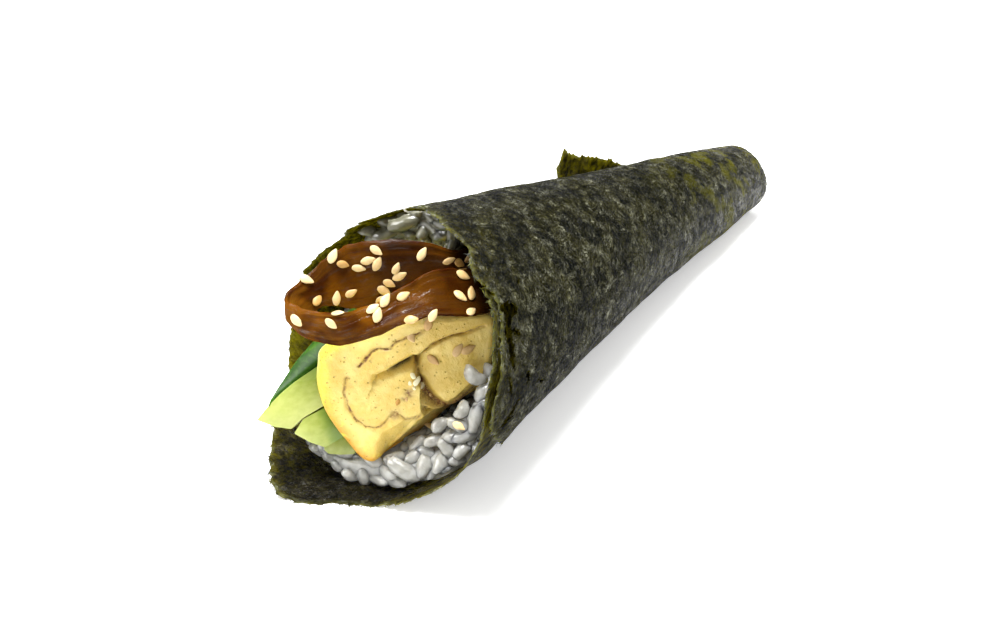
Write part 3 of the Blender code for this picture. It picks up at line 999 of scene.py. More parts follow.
# the cut face's outline, sideways and up from its middle
eggOutline = ((-16.0, 5.2), (-15.5, 7.5), (-13.8, 9.2), (-10.5, 11.0), (-7.0, 11.8), (-3.7, 12.6),
              (1.0, 13.3), (10.4, 13.4), (18.6, 13.0), (19.4, 8.7), (18.4, 2.0), (15.7, -1.9),
              (13.1, -4.9), (9.6, -7.6), (6.8, -7.6), (5.1, -7.4), (1.9, -10.8), (-0.4, -13.3),
              (-2.8, -15.7), (-5.2, -17.2), (-7.9, -17.0), (-9.7, -15.4), (-11.3, -12.9), (-13.5, -9.3),
              (-15.6, -4.4), (-16.5, 0.9))
eggLines = {
    "wavy": ((-8.0, 4.3), (-6.6, 5.6), (-5.2, 7.2), (-4.0, 7.7), (-1.7, 7.4), (-0.5, 8.7), (1.1, 9.4),
             (3.5, 10.1), (5.1, 11.0)),
    "crack": ((3.4, 4.6), (4.9, 6.1), (6.9, 7.7), (9.5, 8.8), (11.1, 9.3), (13.3, 9.5), (14.9, 10.1),
              (16.9, 10.7)),
    "seam": ((3.4, 4.6), (3.3, 2.6), (3.5, 0.6), (3.9, -0.8)),
    "fold": ((-5.3, 0.6), (-4.7, 1.8), (-2.4, 2.3), (0.0, 3.4), (2.8, 4.5)),
    "spiral": ((-10.5, 2.1), (-11.3, -0.8), (-10.8, -4.4), (-9.4, -7.1), (-7.6, -8.9), (-5.6, -9.5),
               (-3.8, -8.6), (-2.7, -7.1), (-1.2, -6.4), (0.3, -7.8), (2.3, -8.0), (4.6, -6.6)),
    "facet": ((-5.9, -11.4), (-3.9, -10.1), (-2.0, -9.2), (-0.3, -8.2), (2.4, -7.2), (5.6, -6.2)),
    "lobe": ((3.9, -0.8), (3.2, -1.8), (3.5, -3.4), (3.1, -5.0), (2.4, -6.4)),
    "chunk": ((3.7, -1.0), (4.6, -3.0), (6.0, -4.9), (7.6, -6.3), (9.4, -7.0), (12.1, -5.4), (14.6, -3.2)),
}

# how far sideways the seam lies, at each height
seamAcross = ((-9.0, 4.6), (-6.0, 3.6), (-3.4, 3.6), (-0.8, 3.9), (2.6, 3.3), (4.6, 3.4))


# distance from a point to a run of short straight lines, how far along the run it is, and the
# same distance with a sign, positive on the left in the direction that the run goes
def alongLine(line, u, v):
    best, share, side = 1e9, 0.0, 0.0
    last = len(line) - 1
    for k in range(last):
        (au, av), (bu, bv) = line[k], line[k + 1]
        du, dv = bu - au, bv - av
        t = min(max(((u - au) * du + (v - av) * dv) / (du * du + dv * dv), 0.0), 1.0)
        away = math.hypot(u - au - du * t, v - av - dv * t)
        if away < best:
            best, share = away, (k + t) / last
            side = math.copysign(away, du * (v - av) - dv * (u - au))
    return best, share, side


# 1 on a line, falling away to nothing at about twice the width
def fallOff(away, width):
    return math.exp(-(away / width) ** 2)


# the right lobe, under the crack and to the right of the seam
def isChunk(u, v):
    if u < 2.0:
        return False
    away, share, side = alongLine(eggLines["crack"], u, v)
    return side < 0.0 and u > readTable(seamAcross, v)


# browned lines, with their width and strength, and browned spots: sideways, up and size
eggBrownLines = (("wavy", 0.26, 0.95), ("crack", 0.28, 0.95), ("spiral", 0.20, 0.75), ("seam", 0.28, 0.8))
eggBrownSpots = ((-1.6, -6.7, 1.1), (1.5, -2.2, 1.0), (0.3, -3.4, 0.5))


# how far the cut face is sunk at a point
def eggDepth(u, v):
    depth = 0.14 * noise.noise(Vector((u * 0.7, v * 0.7, 1.0)))
    depth += 0.35 * noise.noise(Vector((u * 0.16, v * 0.16, 2.0)))
    chunk = isChunk(u, v)
    if chunk:
        away, share, side = alongLine(eggLines["chunk"], u, v)
        border, share, side = alongLine(eggLines["seam"] + eggLines["lobe"][1:], u, v)
        depth += 0.9 + 1.3 * ease(1.0 - border / 6.0) + 2.4 * ease(1.0 - away / 2.0)
    away, share, side = alongLine(eggLines["facet"], u, v)
    if side < 0.0 and u < 6.0 and not chunk:
        depth -= 0.80 * side * ease((u + 6.5) / 3.5)
    away, share, side = alongLine(eggLines["crack"], u, v)
    depth += 1.3 * fallOff(away, 0.42) * (1.0 - 0.6 * share)
    away, share, side = alongLine(eggLines["fold"], u, v)
    depth += (0.6 + 2.6 * share) * fallOff(away, 0.55 + 0.5 * share)
    if side < 0.0:
        depth += 0.7 * fallOff(away, 2.2)
    for name, deep, width in (("seam", 1.4, 0.40), ("wavy", 0.35, 0.3), ("spiral", 0.30, 0.3)):
        depth += deep * fallOff(alongLine(eggLines[name], u, v)[0], width)
    return depth


def smoothOutline(points, count):
    last = len(points)
    result = []
    for k in range(count):
        at = k / count * last
        i = int(at)
        t = at - i
        a, b, c, d = (Vector(points[(i + step) % last]) for step in (-1, 0, 1, 2))
        result.append(smoothBetween(a, b, c, d, t))
    return result


def makeEgg():
    outline = smoothOutline(eggOutline, egg["columns"])
    facing = Vector(egg["face"]).normalized()
    sideways = Vector((-facing.y, facing.x, 0.0)).normalized()
    upward = facing.cross(sideways)
    run = Vector(egg["run"]).normalized()
    at = Vector(egg["at"])
    rows = egg["faceRows"] + egg["edgeRows"] + egg["sideRows"] + egg["backRows"]
    middle = Vector((-1.0, -0.5))
    flat = []

    def eggPoint(across, along):
        corner = outline[round(across * egg["columns"]) % egg["columns"]]
        row = round(along * rows)
        reach = (corner - middle).length
        inner = (reach - egg["round"]) / reach
        if row <= egg["faceRows"]:
            share = row / egg["faceRows"]
            u, v = middle + (corner - middle) * (share ** 0.85) * inner
            flat.append((u, v, reach * (1.0 - share ** 0.85 * inner), 0.0))
            return at + sideways * u + upward * v - facing * eggDepth(u, v)
        row -= egg["faceRows"]
        u, v = middle + (corner - middle) * inner
        start = eggDepth(u, v)
        if row <= egg["edgeRows"]:
            turn = row / egg["edgeRows"] * math.pi / 2.0
            u, v = middle + (corner - middle) * (inner + (1.0 - inner) * math.sin(turn))
            flat.append((u, v, egg["round"] * (1.0 - math.sin(turn)), 0.0))
            back = start + egg["round"] * (1.0 - math.cos(turn))
            return at + sideways * u + upward * v - facing * back
        row -= egg["edgeRows"]
        depth = min(row / egg["sideRows"], 1.0) ** 1.4 * egg["length"]
        lumps = 1.0 + 0.012 * noise.noise(Vector((depth * 0.2, corner.x * 0.3, corner.y * 0.3)))
        size = (1.0 - egg["shrink"] * depth) * lumps
        closing = max(row - egg["sideRows"], 0) / egg["backRows"]
        u, v = corner * size * (1.0 - closing)
        flat.append((u, v, 0.0, depth))
        start = (start + egg["round"]) * (1.0 - min(depth / 12.0, 1.0))
        return at + sideways * u + upward * v - facing * start + run * depth

    block = bendGrid("egg_block", egg["columns"], rows, eggPoint)
    browned, rims, pitShades = [], [], []
    for u, v, inward, depth in flat:
        wobble = 0.5 + 0.5 * noise.noise(Vector((u * 1.1, v * 1.1, 5.0)))
        brown = 0.0
        strayU = u + 0.35 * noise.noise(Vector((u * 0.9, v * 0.9, 11.0)))
        strayV = v + 0.35 * noise.noise(Vector((u * 0.9, v * 0.9, 12.0)))
        for name, width, strength in eggBrownLines:
            away = alongLine(eggLines[name], strayU, strayV)[0]
            brown = max(brown, strength * (0.15 + 1.15 * wobble) * fallOff(away, width * (0.6 + wobble)))
            brown = max(brown, 0.22 * fallOff(away, width * 3.0))
        for atU, atV, size in eggBrownSpots:
            brown = max(brown, 0.7 * fallOff(math.hypot(u - atU, v - atV), size) * (0.5 + wobble * 0.8))
        if isChunk(u, v):
            away = alongLine(eggLines["chunk"], u, v)[0]
            brown = max(brown, 0.85 * fallOff(away, 1.1) * (0.6 + 0.5 * wobble))
        browned.append(min(brown, 1.0) if depth == 0.0 else 0.15 * wobble)
        rims.append(ease(1.15 - inward / (2.2 + 1.2 * wobble)) * ease((2.0 - u) / 8.0))
        # painted shade: the deep end of the fold slit is painted near black
        away, share, side = alongLine(eggLines["fold"], u, v)
        pitShades.append(fallOff(away, 0.5) * ease((share - 0.45) / 0.2) * ease((1.0 - share) / 0.1))
    for name, values in (("browned", browned), ("rim", rims), ("pit", pitShades)):
        writeValues(block, name, values)
    closeUp(block)
    shadeSmooth(block)
    block.data.materials.append(paintEgg())
    settle(block, "egg", "egg")
    print("omelette shaped,", len(block.data.polygons), "faces")


eggLook = {
    "face": (0.68, 0.48, 0.100),
    "paleFace": (0.77, 0.60, 0.180),
    "rim": (0.84, 0.74, 0.060),
    "crust": (0.62, 0.31, 0.022),
    "brown": (0.15, 0.045, 0.009),
    "pore": (0.40, 0.27, 0.04),
}


def paintEgg():
    material, paint = newPaint("rolled omelette")
    place = objectPlace(paint)
    soft = cloud(paint, place, 4.0, 3.0).step(0.35, 0.7)
    face = soft.blend(eggLook["face"], eggLook["paleFace"])
    low = oneWay(paint, place, 2)
    crustLow = (1.0 - low.step(0.014, 0.034)) * cloud(paint, place, 2.6, 3.0).step(0.28, 0.50)
    edge = crustLow.blend(eggLook["rim"], eggLook["crust"])
    rimmed = readValue(paint, "rim").blend(face, edge)
    holes = paint.node("ShaderNodeTexVoronoi", {"feature": "F1"},
                       {"Vector": place, "Scale": 1.0 / (0.95 * mm), "Randomness": 1.0}, "Distance")
    chance = cloud(paint, place, 1.8, 2.0).step(0.47, 0.58)
    pores = (1.0 - holes.step(0.10, 0.26)) * chance
    flecks = (1.0 - cloud(paint, place, 0.50, 2.0, 0.6).step(0.27, 0.36)) * 0.75
    pored = (pores * 0.65).blend(rimmed, eggLook["pore"])
    flecked = (flecks * readValue(paint, "rim")).blend(pored, eggLook["brown"])
    streaks = cloud(paint, place, 0.45, 3.0, 0.65).step(0.30, 0.62)
    line = (readValue(paint, "browned") * (0.55 + streaks * 0.9)).clamp()
    browned = line.blend(flecked, eggLook["brown"])
    # painted shade: near black in the fold slit
    finished = readValue(paint, "pit").blend(browned, (0.012, 0.005, 0.001))
    relief = cloud(paint, place, 0.9, 4.0, 0.65) * 0.8 - pores * 0.8 - line * 0.5
    surface = bump(paint, relief, 0.36, 0.9)
    finishPaint(paint, paint.node(
        "ShaderNodeBsdfPrincipled", {"subsurface_method": "RANDOM_WALK"},
        {"Base Color": finished, "Roughness": 0.40, "Normal": surface, "Subsurface Weight": 0.18,
         "Subsurface Radius": (1.0, 0.7, 0.2), "Subsurface Scale": 0.0010}))
    return material


# flesh goes from pale to green between the two distances of "greening", measured towards the skin
sticks = {
    "cucumber_skin_side": {
        "at": (-30.0, 18.2, 17.4), "run": (1.0, -0.085, 0.255), "length": 52.0, "shrink": 0.0045,
        "cut": (-0.165, 0.974, -0.156), "cutAt": (-37.2, 15.2, 19.2), "bevel": 0.25,
        "skinSide": (0.0, -0.35, 0.9), "greening": (-9.0, -4.0),
        "section": ((-3.6, 3.6), (-3.2, 4.2), (-2.2, 4.6), (-0.4, 5.0), (1.2, 4.6), (3.0, 3.4),
                    (4.0, 0.6), (3.0, -2.8), (0.0, -4.0), (-2.9, -3.2)),
    },
    "cucumber_upper": {
        "at": (-30.0, 11.6, 18.6), "run": (1.0, -0.06, 0.10), "length": 62.0, "shrink": 0.0060,
        "cut": (-0.69, -0.63, 0.36), "cutAt": (-33.0, 11.2, 18.9), "bevel": 0.16,
        "skinSide": (0.3, -0.2, 0.93), "greening": (-3.0, 9.0),
        "section": ((4.5, -1.4), (3.5, 1.0), (2.3, 3.1), (0.8, 5.1), (-2.8, 5.2), (-4.5, 2.6),
                    (-4.5, -0.1), (-1.9, -2.1), (-0.8, -3.9), (1.6, -3.1)),
    },
    "cucumber_lower": {
        "at": (-30.0, 6.6, 11.6), "run": (1.0, -0.03, 0.03), "length": 60.0, "shrink": 0.0080,
        "cut": (-0.69, -0.63, 0.36), "cutAt": (-32.7, 11.2, 18.9), "bevel": 0.16,
        "skinSide": (0.55, -0.75, 0.35), "greening": (-5.0, 6.0),
        "section": ((3.9, 1.7), (3.2, 4.5), (0.3, 6.7), (-1.9, 6.0), (-2.9, 3.6), (-3.6, 0.4),
                    (-1.3, -1.5), (1.1, -0.3)),
    },
    "cucumber_end": {
        "at": (-28.0, 5.2, 7.0), "run": (1.0, -0.03, 0.02), "length": 50.0, "shrink": 0.0080,
        "cut": (-0.80, -0.45, 0.40), "cutAt": (-28.8, 5.2, 7.2), "bevel": 0.5,
        "skinSide": (0.5, -0.7, 0.5), "greening": (-8.0, 9.0),
        "section": ((2.9, 0.2), (1.7, 2.5), (-1.1, 3.8), (-3.0, 3.0), (-3.2, -0.4), (-0.6, -0.8),
                    (1.6, -0.8)),
    },
}
stickStart = -12.0      # each stick starts this far in front of its place, and the cut trims it
stickSteps = 8
cucumberLook = {
    "flesh": (0.19, 0.25, 0.030),
    "paleFlesh": (0.42, 0.45, 0.125),
    "greenFlesh": (0.10, 0.18, 0.012),
    "skin": (0.020, 0.066, 0.005),
    "paleSkin": (0.065, 0.155, 0.018),
}


# a stick is drawn as its cross-section, pulled out along its run and cut on the slant
def makeStick(name, stick):
    section = stick["section"]
    run = Vector(stick["run"])
    at = Vector(stick["at"])
    start = stickStart
    clearSelection()
    bpy.ops.mesh.primitive_circle_add(vertices=len(section), radius=1.0, fill_type="NGON")
    piece = nameNewPiece(name + "_stick")
    for corner, (side, up) in zip(piece.data.vertices, section):
        size = 1.0 - stick["shrink"] * max(start, 0.0)
        corner.co = toFrame(at + run * start + Vector((0.0, side, up)) * size)
    bpy.ops.object.mode_set(mode="EDIT")
    bpy.ops.mesh.select_all(action="SELECT")
    pull = run * (stick["length"] - start) / stickSteps
    for step in range(stickSteps):
        bpy.ops.mesh.extrude_region_move(TRANSFORM_OT_translate={"value": pull * mm})
        beyond = start + (step + 1) * (stick["length"] - start) / stickSteps
        if beyond > 0.0:
            shrunk = 1.0 - stick["shrink"] * min(beyond, (stick["length"] - start) / stickSteps)
            centre = toFrame(at + run * beyond)
            bpy.ops.transform.resize(value=(shrunk, shrunk, shrunk), center_override=centre)
    facing = Vector(stick["cut"]).normalized()
    bpy.ops.mesh.select_all(action="SELECT")
    bpy.ops.mesh.bisect(plane_co=toFrame(stick["cutAt"]), plane_no=facing, use_fill=True, clear_outer=True)
    bpy.ops.mesh.select_all(action="SELECT")
    bpy.ops.mesh.normals_make_consistent(inside=False)
    bpy.ops.object.mode_set(mode="OBJECT")
    applyModifier(piece, "BEVEL", width=stick["bevel"] * mm, segments=2, limit_method="ANGLE",
                  angle_limit=math.radians(24.0))
    applyModifier(piece, "TRIANGULATE")
    shadeSmooth(piece, 30.0)
    piece.data.materials.append(paintCucumber(name, stick))
    settle(piece, name, name)


# how green the flesh is grows towards the skin, which lies on one side of each stick
def paintCucumber(name, stick):
    material, paint = newPaint(name.replace("_", " "))
    place = objectPlace(paint)
    towards = Vector(stick["skinSide"]).normalized()
    pale, green = stick["greening"]
    along = paint.node("ShaderNodeVectorMath", {"operation": "DOT_PRODUCT"},
                       {0: place, 1: towards}, "Value")
    measured = along - toFrame(stick["cutAt"]).dot(towards)
    greenness = measured.step(pale * mm, green * mm)
    veins = strands(paint, place, 14.0, 1.1, 3.0, 2.0).step(0.3, 0.75)
    watery = (greenness * 0.8 + veins * 0.25 - 0.05).clamp()
    flesh = watery.blend(cucumberLook["paleFlesh"], cucumberLook["flesh"])
    deep = greenness.step(0.72, 1.0)
    fleshed = (deep * 0.8).blend(flesh, cucumberLook["greenFlesh"])
    if name == "cucumber_skin_side":
        speckle = cloud(paint, place, 0.9, 2.0).step(0.5, 0.72) * 0.45
        bands = strands(paint, place, 30.0, 2.6, 8.0, 2.0).step(0.45, 0.7) * 0.35
        fleshed = (speckle + bands).clamp().blend(cucumberLook["skin"], cucumberLook["paleSkin"])
    relief = cloud(paint, place, 1.0, 2.0) * 0.6 + strands(paint, place, 9.0, 0.5, 3.0, 1.0) * 0.3
    surface = bump(paint, relief, 0.08, 0.6)
    gloss, shine = (0.42, 0.15) if name == "cucumber_skin_side" else (0.26, 0.40)
    finishPaint(paint, paint.node(
        "ShaderNodeBsdfPrincipled", {"subsurface_method": "RANDOM_WALK"},
        {"Base Color": fleshed, "Roughness": gloss, "Normal": surface, "Specular IOR Level": shine,
         "Subsurface Weight": 0.3, "Subsurface Radius": (0.7, 1.0, 0.3), "Subsurface Scale": 0.0015}))
    return material


def makeCucumber():
    for name, stick in sticks.items():
        makeStick(name, stick)
    print("cucumber cut,", len(sticks), "sticks")


gourd = {
    "thick": 2.0,
    "steps": 9,             # rings from one station to the next
    "around": 72,
    "square": 0.62,         # how square its cross-section is, 1 for an ellipse
    "curl": 0.5,            # how far its edges curl to one side
    "grooves": 0.10,
    "ripples": 0.28,
    "belly": 1.5,           # how far its near arm bulges
    "fold": 1.0,            # height of the fold across the far arm
}
# its upper and lower edge over the mouth, as sideways, up and towards
gourdEdges = (
    ((24.0, 26.0, -22.0), (23.0, 21.0, -24.0)), ((16.3, 20.0, -8.0), (16.3, 15.0, -11.0)),
    ((12.4, 17.6, 2.6), (12.3, 13.6, 0.0)), ((7.4, 18.8, 5.0), (7.1, 12.4, 1.0)),
    ((2.3, 19.4, 6.0), (1.9, 10.4, 0.5)), ((-2.2, 19.4, 6.5), (-1.8, 8.6, 0.3)),
    ((-7.3, 18.9, 6.4), (-5.4, 6.6, 0.5)), ((-11.0, 17.5, 6.5), (-7.8, 6.2, 1.0)),
    ((-13.8, 15.4, 6.4), (-9.6, 6.3, 1.6)),
    ((-16.2, 13.0, 6.3), (-11.2, 6.6, 2.3)), ((-18.5, 11.1, 6.8), (-12.8, 6.7, 3.0)),
    ((-20.4, 9.3, 8.0), (-14.4, 6.4, 4.0)), ((-20.6, 7.7, 9.2), (-16.4, 5.0, 5.4)),
    ((-19.4, 7.0, 10.3), (-19.2, 2.9, 6.8)), ((-17.0, 5.9, 11.2), (-17.8, 1.4, 7.8)),
    ((-14.2, 5.4, 12.1), (-15.5, 0.2, 8.6)), ((-11.3, 5.2, 12.8), (-12.4, -0.6, 9.6)),
    ((-8.0, 5.3, 13.2), (-9.4, -0.9, 10.8)), ((-5.3, 6.3, 13.4), (-6.2, -0.3, 12.0)),
    ((-2.3, 7.2, 12.8), (-1.5, 1.2, 13.6)), ((0.3, 9.0, 12.0), (1.7, 2.8, 14.0)),
    ((3.7, 11.0, 10.8), (5.2, 3.9, 13.9)),
    ((7.1, 13.0, 9.6), (8.8, 4.6, 13.0)), ((10.8, 13.8, 8.2), (12.7, 4.6, 11.5)),
    ((14.6, 13.6, 6.0), (16.6, 4.8, 9.0)), ((18.4, 14.4, 1.0), (20.0, 6.4, 2.0)),
    ((24.0, 17.0, -8.0), (24.0, 12.0, -10.0)),
)
# the fold across the far arm: station, and place from the lower edge at -1 to the upper at 1
gourdFold = ((2.6, -0.35), (3.6, -0.38), (4.4, -0.42), (5.0, -0.52), (5.6, -0.48), (6.3, -0.35),
             (6.8, -0.12), (7.4, 0.15), (8.2, 0.45), (9.0, 0.75))

gourdFoldFine = [(at / 8.0, readTable(gourdFold, at / 8.0)) for at in range(20, 73)]


def smoothStation(stations, at):
    last = len(stations) - 1
    k = min(int(at), last - 1)
    t = at - k
    a, b, c, d = (Vector(stations[min(max(k + step, 0), last)]) for step in (-1, 0, 1, 2))
    return smoothBetween(a, b, c, d, t)


gourdUpper = [fromMouth(*upper) for upper, lower in gourdEdges]
gourdLower = [fromMouth(*lower) for upper, lower in gourdEdges]


def gourdMiddle(at):
    return (smoothStation(gourdUpper, at) + smoothStation(gourdLower, at)) / 2.0


def gourdPoint(across, along):
    last = len(gourdEdges) - 1
    at = along * last
    place = gourdMiddle(at)
    run = (gourdMiddle(min(at + 0.15, last)) - gourdMiddle(max(at - 0.15, 0.0))).normalized()
    edgewise = (smoothStation(gourdUpper, at) - smoothStation(gourdLower, at)) / 2.0
    wide = edgewise.length
    broad = edgewise.normalized()
    thin = broad.cross(run).normalized()
    turned = math.tau * across
    flat = math.copysign(abs(math.cos(turned)) ** gourd["square"], math.cos(turned))
    thick = math.copysign(abs(math.sin(turned)) ** gourd["square"], math.sin(turned))
    inner = min(max(-thick, 0.0), 1.0)
    ridge = noise.noise(Vector((at * 0.5, flat * 3.2, thick)))
    ripple = noise.noise(Vector((at * 0.8, flat * 1.3, 4.0)))
    groove = noise.noise(Vector((at * 0.35, flat * 10.0, thick * 2.0)))
    groove += 0.6 * noise.noise(Vector((at * 0.7, flat * 22.0, thick * 2.0 + 5.0)))
    height = thick * gourd["thick"] / 2.0 * (1.0 + 0.3 * ridge)
    height += gourd["ripples"] * ripple + gourd["grooves"] * groove * thick
    near = ease((at - 18.0) / 3.0)
    left = ease((at - 10.0) / 2.0) * (1.0 - near)
    height += near * gourd["belly"] * (1.0 - flat * flat)
    height -= left * gourd["curl"] * (1.0 - flat * flat)
    if at < 10.0:
        nearest = min(math.hypot((at - foldAt) * 4.2, (flat - foldFlat) * wide)
                      for foldAt, foldFlat in gourdFoldFine)
        below = flat < readTable(gourdFold, at)
        raised = gourd["fold"] * math.exp(-(nearest / 0.75) ** 2)
        sunk = 0.8 * gourd["fold"] * (1.0 - math.exp(-(nearest / 0.9) ** 2))
        sunk *= math.exp(-(nearest / 3.2) ** 2)
        height -= inner * (raised - (sunk if below else 0.0))
    uneven = 1.0 + 0.04 * noise.noise(Vector((at * 2.4, flat, 8.0)))
    return place + broad * flat * wide * uneven + thin * height


def gourdPattern(across, along):
    return (along * 0.120, abs(2.0 * across - 1.0) * 0.012)


def makeGourd():
    rings = (len(gourdEdges) - 1) * gourd["steps"]
    ribbon = bendGrid("kanpyo_ribbon", gourd["around"], rings, gourdPoint, gourdPattern)
    closeUp(ribbon)
    pickOnly(ribbon)
    bpy.ops.object.mode_set(mode="EDIT")
    bpy.ops.mesh.select_mode(type="VERT")
    bpy.ops.mesh.select_all(action="DESELECT")
    bpy.ops.mesh.select_non_manifold()
    bpy.ops.mesh.edge_face_add()
    bpy.ops.mesh.select_all(action="SELECT")
    bpy.ops.mesh.normals_make_consistent(inside=False)
    bpy.ops.object.mode_set(mode="OBJECT")
    shadeSmooth(ribbon)
    ribbon.data.materials.append(paintGourd())
    settle(ribbon, "kanpyo", "kanpyo")
    print("gourd ribbon folded,", len(ribbon.data.polygons), "faces")


gourdLook = {
    "amber": (0.125, 0.041, 0.0020),
    "brown": (0.038, 0.0090, 0.0008),
    "pale": (0.19, 0.080, 0.007),
    # deep is painted shade, for the gourd deep inside the roll
    "deep": (0.016, 0.0035, 0.0006),
}


def paintGourd():
    material, paint = newPaint("simmered gourd")
    place = objectPlace(paint)
    strip = patternPlace(paint)
    fine = strands(paint, strip, 9.0, 0.32, 0.0, 2.0)
    broad = strands(paint, strip, 16.0, 1.8, 0.0, 2.0).step(0.38, 0.68)
    depth = cloud(paint, place, 8.0, 2.0).step(0.40, 0.62)
    # painted shade: the gourd is painted near black deeper inside the roll
    inward = oneWay(paint, place, 0).step(-0.064, -0.050)
    body = depth.blend(gourdLook["brown"], gourdLook["amber"])
    streaked = (broad * 0.30).blend(body, gourdLook["pale"])
    lined = (fine.step(0.45, 0.75) * 0.45).blend(streaked, gourdLook["brown"])
    darker = (inward * 0.65).blend(lined, gourdLook["deep"])
    relief = fine * 0.8 + cloud(paint, place, 0.45, 2.0, 0.6) * 0.7
    surface = bump(paint, relief, 0.16, 0.9)
    wet = (fine.step(0.50, 0.62) * cloud(paint, place, 3.0, 2.0).step(0.40, 0.62) * 0.70 + 0.05).clamp()
    dull = paint.node(
        "ShaderNodeBsdfPrincipled", {"subsurface_method": "RANDOM_WALK"},
        {"Base Color": darker, "Roughness": 0.45, "Normal": surface, "Subsurface Weight": 0.20,
         "Subsurface Radius": (1.0, 0.35, 0.05), "Subsurface Scale": 0.0016, "Specular IOR Level": 0.0})
    glossy = paint.node("ShaderNodeBsdfPrincipled", {},
                        {"Base Color": darker, "Roughness": 0.16, "Normal": surface,
                         "Specular IOR Level": 0.5})
    finishPaint(paint, paint.node("ShaderNodeMixShader", {}, {0: wet, 1: dull, 2: glossy}))
    return material


seeds = {
    "seed": 11,
    "length": 3.0,
    "width": 1.85,
    "height": 0.85,
    "pale": ((0.66, 0.46, 0.20), (0.80, 0.62, 0.34)),
    "toasted": ((0.36, 0.165, 0.030), (0.62, 0.36, 0.09)),
}
dropFrom = 60.0     # seeds and crumbs are let go this far out from the mouth
# dropped onto what lies under them: sideways and up over the mouth, the way the tip points in degrees,
# and how roasted it is
seedPlaces = (
    (-11.7, 16.3, 65, 0.0), (-16.9, 11.7, -20, 0.0), (-19.3, 11.3, 80, 0.6), (-3.4, 17.5, -40, 0.1),
    (-5.0, 15.6, 10, 0.0), (-3.3, 15.0, 70, 0.1), (-6.9, 14.1, -15, 0.0), (-9.9, 14.8, -25, 0.9),
    (0.3, 14.1, 72, 0.1), (0.9, 12.6, 25, 0.2), (5.5, 16.8, 60, 0.0), (-1.2, 11.2, -35, 0.5),
    (-2.3, 9.8, -35, 0.4), (-2.9, 8.2, 40, 0.3), (-1.0, 7.6, 55, 0.2), (2.3, 8.4, 30, 0.3),
    (-8.7, 9.2, 30, 0.4), (-11.4, 8.2, 85, 0.2), (-9.9, 5.0, -20, 0.2), (-11.1, 3.2, -40, 0.1),
    (-2.3, 4.8, 75, 0.2), (-3.2, 6.0, 35, 0.1), (-18.0, 3.7, -45, 0.2), (-15.0, 7.8, 60, 1.0),
    (10.7, 15.7, 25, 0.3), (12.6, 15.2, -20, 1.0), (14.0, 16.2, -50, 0.4), (12.7, 13.7, -5, 0.6),
    (13.5, 12.5, -10, 0.5), (15.1, 9.0, 70, 0.6), (13.1, 8.4, -40, 0.4), (15.2, 5.4, 45, 0.2),
    (8.1, 4.8, 55, 0.1), (4.1, 3.9, 5, 0.7), (6.8, 3.2, 80, 0.9), (3.4, 0.5, -60, 0.5),
    (7.5, -4.0, -40, 0.7), (12.4, -2.0, 60, 0.4), (14.4, -1.9, 25, 0.5), (12.6, -17.2, -30, 0.0),
    (6.1, -18.3, -60, 0.1),
)


def modelSeed():
    clearSelection()
    bpy.ops.mesh.primitive_uv_sphere_add(segments=14, ring_count=10, radius=1.0)
    seed = nameNewPiece("seed")
    for corner in seed.data.vertices:       # a drop, pointed at one end and flat underneath
        x, y, z = corner.co
        point = 1.0 - 0.42 * ease((z + 0.1) / 1.1)
        under = 0.55 if y < 0.0 else 1.0
        corner.co = (x * point * seeds["width"] / 2.0, y * under * point ** 0.5 * seeds["height"] / 2.0,
                     z * seeds["length"] / 2.0)
    return seed


# where a thing let go over the mouth lands, with the surface's normal there
def dropOnto(trees, across, up):
    start = toFrame(fromMouth(across, up, dropFrom))
    hits = [tree.ray_cast(start, -mouthToward) for tree in trees]
    hits = [hit for hit in hits if hit[0] is not None]
    return min(hits, key=lambda hit: hit[3])[:2] if hits else None


def makeSeeds(targets):
    draw = random.Random(seeds["seed"])
    trees = [findSurface(piece) for piece in targets]
    model = modelSeed()
    made = []
    for across, up, turn, roast in seedPlaces:
        landed = dropOnto(trees, across, up)
        if landed is None:
            print("a seed misses:", across, up)
            continue
        place, normal = landed
        tip = mouthSideways * math.cos(math.radians(turn)) + mouthUp * math.sin(math.radians(turn))
        tip = (tip - normal * tip.dot(normal)).normalized()
        tip = (tip + normal * draw.uniform(-0.16, 0.16)).normalized()
        turning = lieAlong(tip, normal)
        tone = min(max(roast + draw.uniform(-0.12, 0.12), 0.0), 1.0)
        size = draw.uniform(0.90, 1.06)
        copy = copyPiece(model, "seed%d" % len(made))
        for corner in copy.data.vertices:
            wave = 1.0 + 0.10 * noise.noise(corner.co / 0.9 + Vector((len(made) * 3.7, 0.0, 0.0)))
            corner.co = place + normal * 0.22 * mm + (turning @ (corner.co * size * wave)) * mm
        writeValues(copy, "roast", [tone] * len(copy.data.vertices))
        made.append(copy)
    bpy.data.objects.remove(model)
    sown = joinPieces("sesame_seeds", made)
    applyModifier(sown, "SUBSURF", levels=1, render_levels=1)
    shadeSmooth(sown)
    sown.data.materials.append(paintSeeds())
    settle(sown, "egg")
    print("seeds sown,", len(made))


def paintSeeds():
    material, paint = newPaint("sesame")
    place = objectPlace(paint)
    roast = readValue(paint, "roast")
    mottle = cloud(paint, place, 0.7, 2.0)
    pale = mottle.blend(*seeds["pale"])
    toasted = mottle.blend(*seeds["toasted"])
    shade = (roast * 0.9).blend(pale, toasted)
    surface = bump(paint, cloud(paint, place, 0.5, 2.0), 0.07, 0.6)
    finishPaint(paint, paint.node(
        "ShaderNodeBsdfPrincipled", {"subsurface_method": "RANDOM_WALK"},
        {"Base Color": shade, "Roughness": 0.42, "Normal": surface, "Subsurface Weight": 0.15,
         "Subsurface Radius": (1.0, 0.7, 0.4), "Subsurface Scale": 0.0006}))
    return material


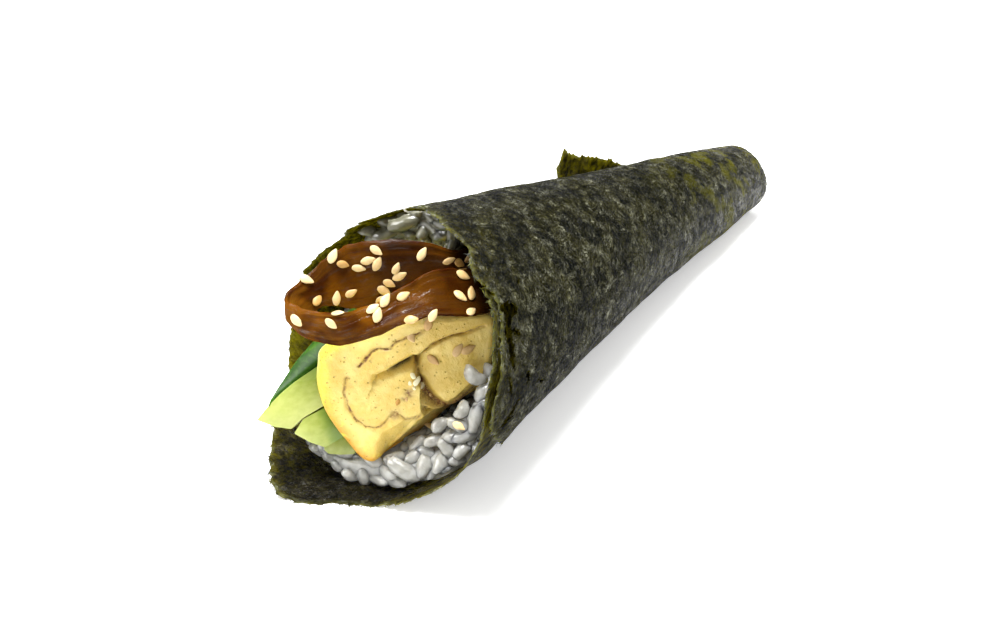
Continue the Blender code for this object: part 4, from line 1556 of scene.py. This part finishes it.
# bits of egg, dropped the same way: sideways and up, length, how dark
crumbPlaces = (
    (3.5, -7.1, 1.6, 0.0), (4.0, -8.3, 2.0, 0.0), (4.9, -9.2, 1.7, 0.1), (2.9, -8.6, 1.0, 0.0),
    (3.7, -9.6, 1.0, 0.1), (0.4, -12.5, 1.2, 0.5), (2.1, -11.8, 1.0, 0.4), (6.6, -11.2, 0.9, 0.4),
)


# from a pale crumb to a dark one
crumbLook = {
    "seed": 8,
    "shades": ((0.0, (0.86, 0.80, 0.52)), (0.5, (0.50, 0.26, 0.05)), (1.0, (0.02, 0.03, 0.006))),
}


def makeCrumbs(targets):
    draw = random.Random(crumbLook["seed"])
    trees = [findSurface(piece) for piece in targets]
    made = []
    for across, up, long, tone in crumbPlaces:
        landed = dropOnto(trees, across, up)
        if landed is None:
            print("a crumb misses:", across, up)
            continue
        place, normal = landed
        clearSelection()
        bpy.ops.mesh.primitive_ico_sphere_add(subdivisions=3, radius=0.5 * long)
        crumb = nameNewPiece("crumb%d" % len(made))
        turning = lieAlong(Vector((draw.random(), draw.random(), draw.random())), normal)
        for corner in crumb.data.vertices:
            rough = 1.0 + 0.45 * noise.noise(corner.co / (0.5 * long) + Vector((len(made) * 5.1, 0.0, 0.0)))
            shaped = Vector((corner.co.x * 0.62, corner.co.y * 0.5, corner.co.z)) * rough
            corner.co = place + normal * 0.2 * long * mm + (turning @ shaped) * mm
        writeValues(crumb, "dark", [tone] * len(crumb.data.vertices))
        made.append(crumb)
    crumbs = joinPieces("egg_crumbs", made)
    shadeSmooth(crumbs)
    material, paint = newPaint("crumbs")
    shade = paint.node("ShaderNodeValToRGB",
                       {"stops": crumbLook["shades"]}, {"Fac": readValue(paint, "dark")})
    finishPaint(paint, paint.node("ShaderNodeBsdfPrincipled", {}, {"Base Color": shade, "Roughness": 0.45}))
    crumbs.data.materials.append(material)
    settle(crumbs, "egg")
    print("crumbs dropped,", len(made))


makeCamera()
makeLights()
makeFloor()
print("camera, floor and light ready")
makeSheet()
makeHairs()
makeRice()
makeRiceCore()
makeEgg()
makeCucumber()
makeGourd()
underSeeds = ("kanpyo_ribbon", "egg_block", "rice_grains", "nori_sheet", "cucumber_upper_stick")
makeSeeds([bpy.data.objects[name] for name in underSeeds])
underCrumbs = ("egg_block", "cucumber_upper_stick", "cucumber_lower_stick")
makeCrumbs([bpy.data.objects[name] for name in underCrumbs])
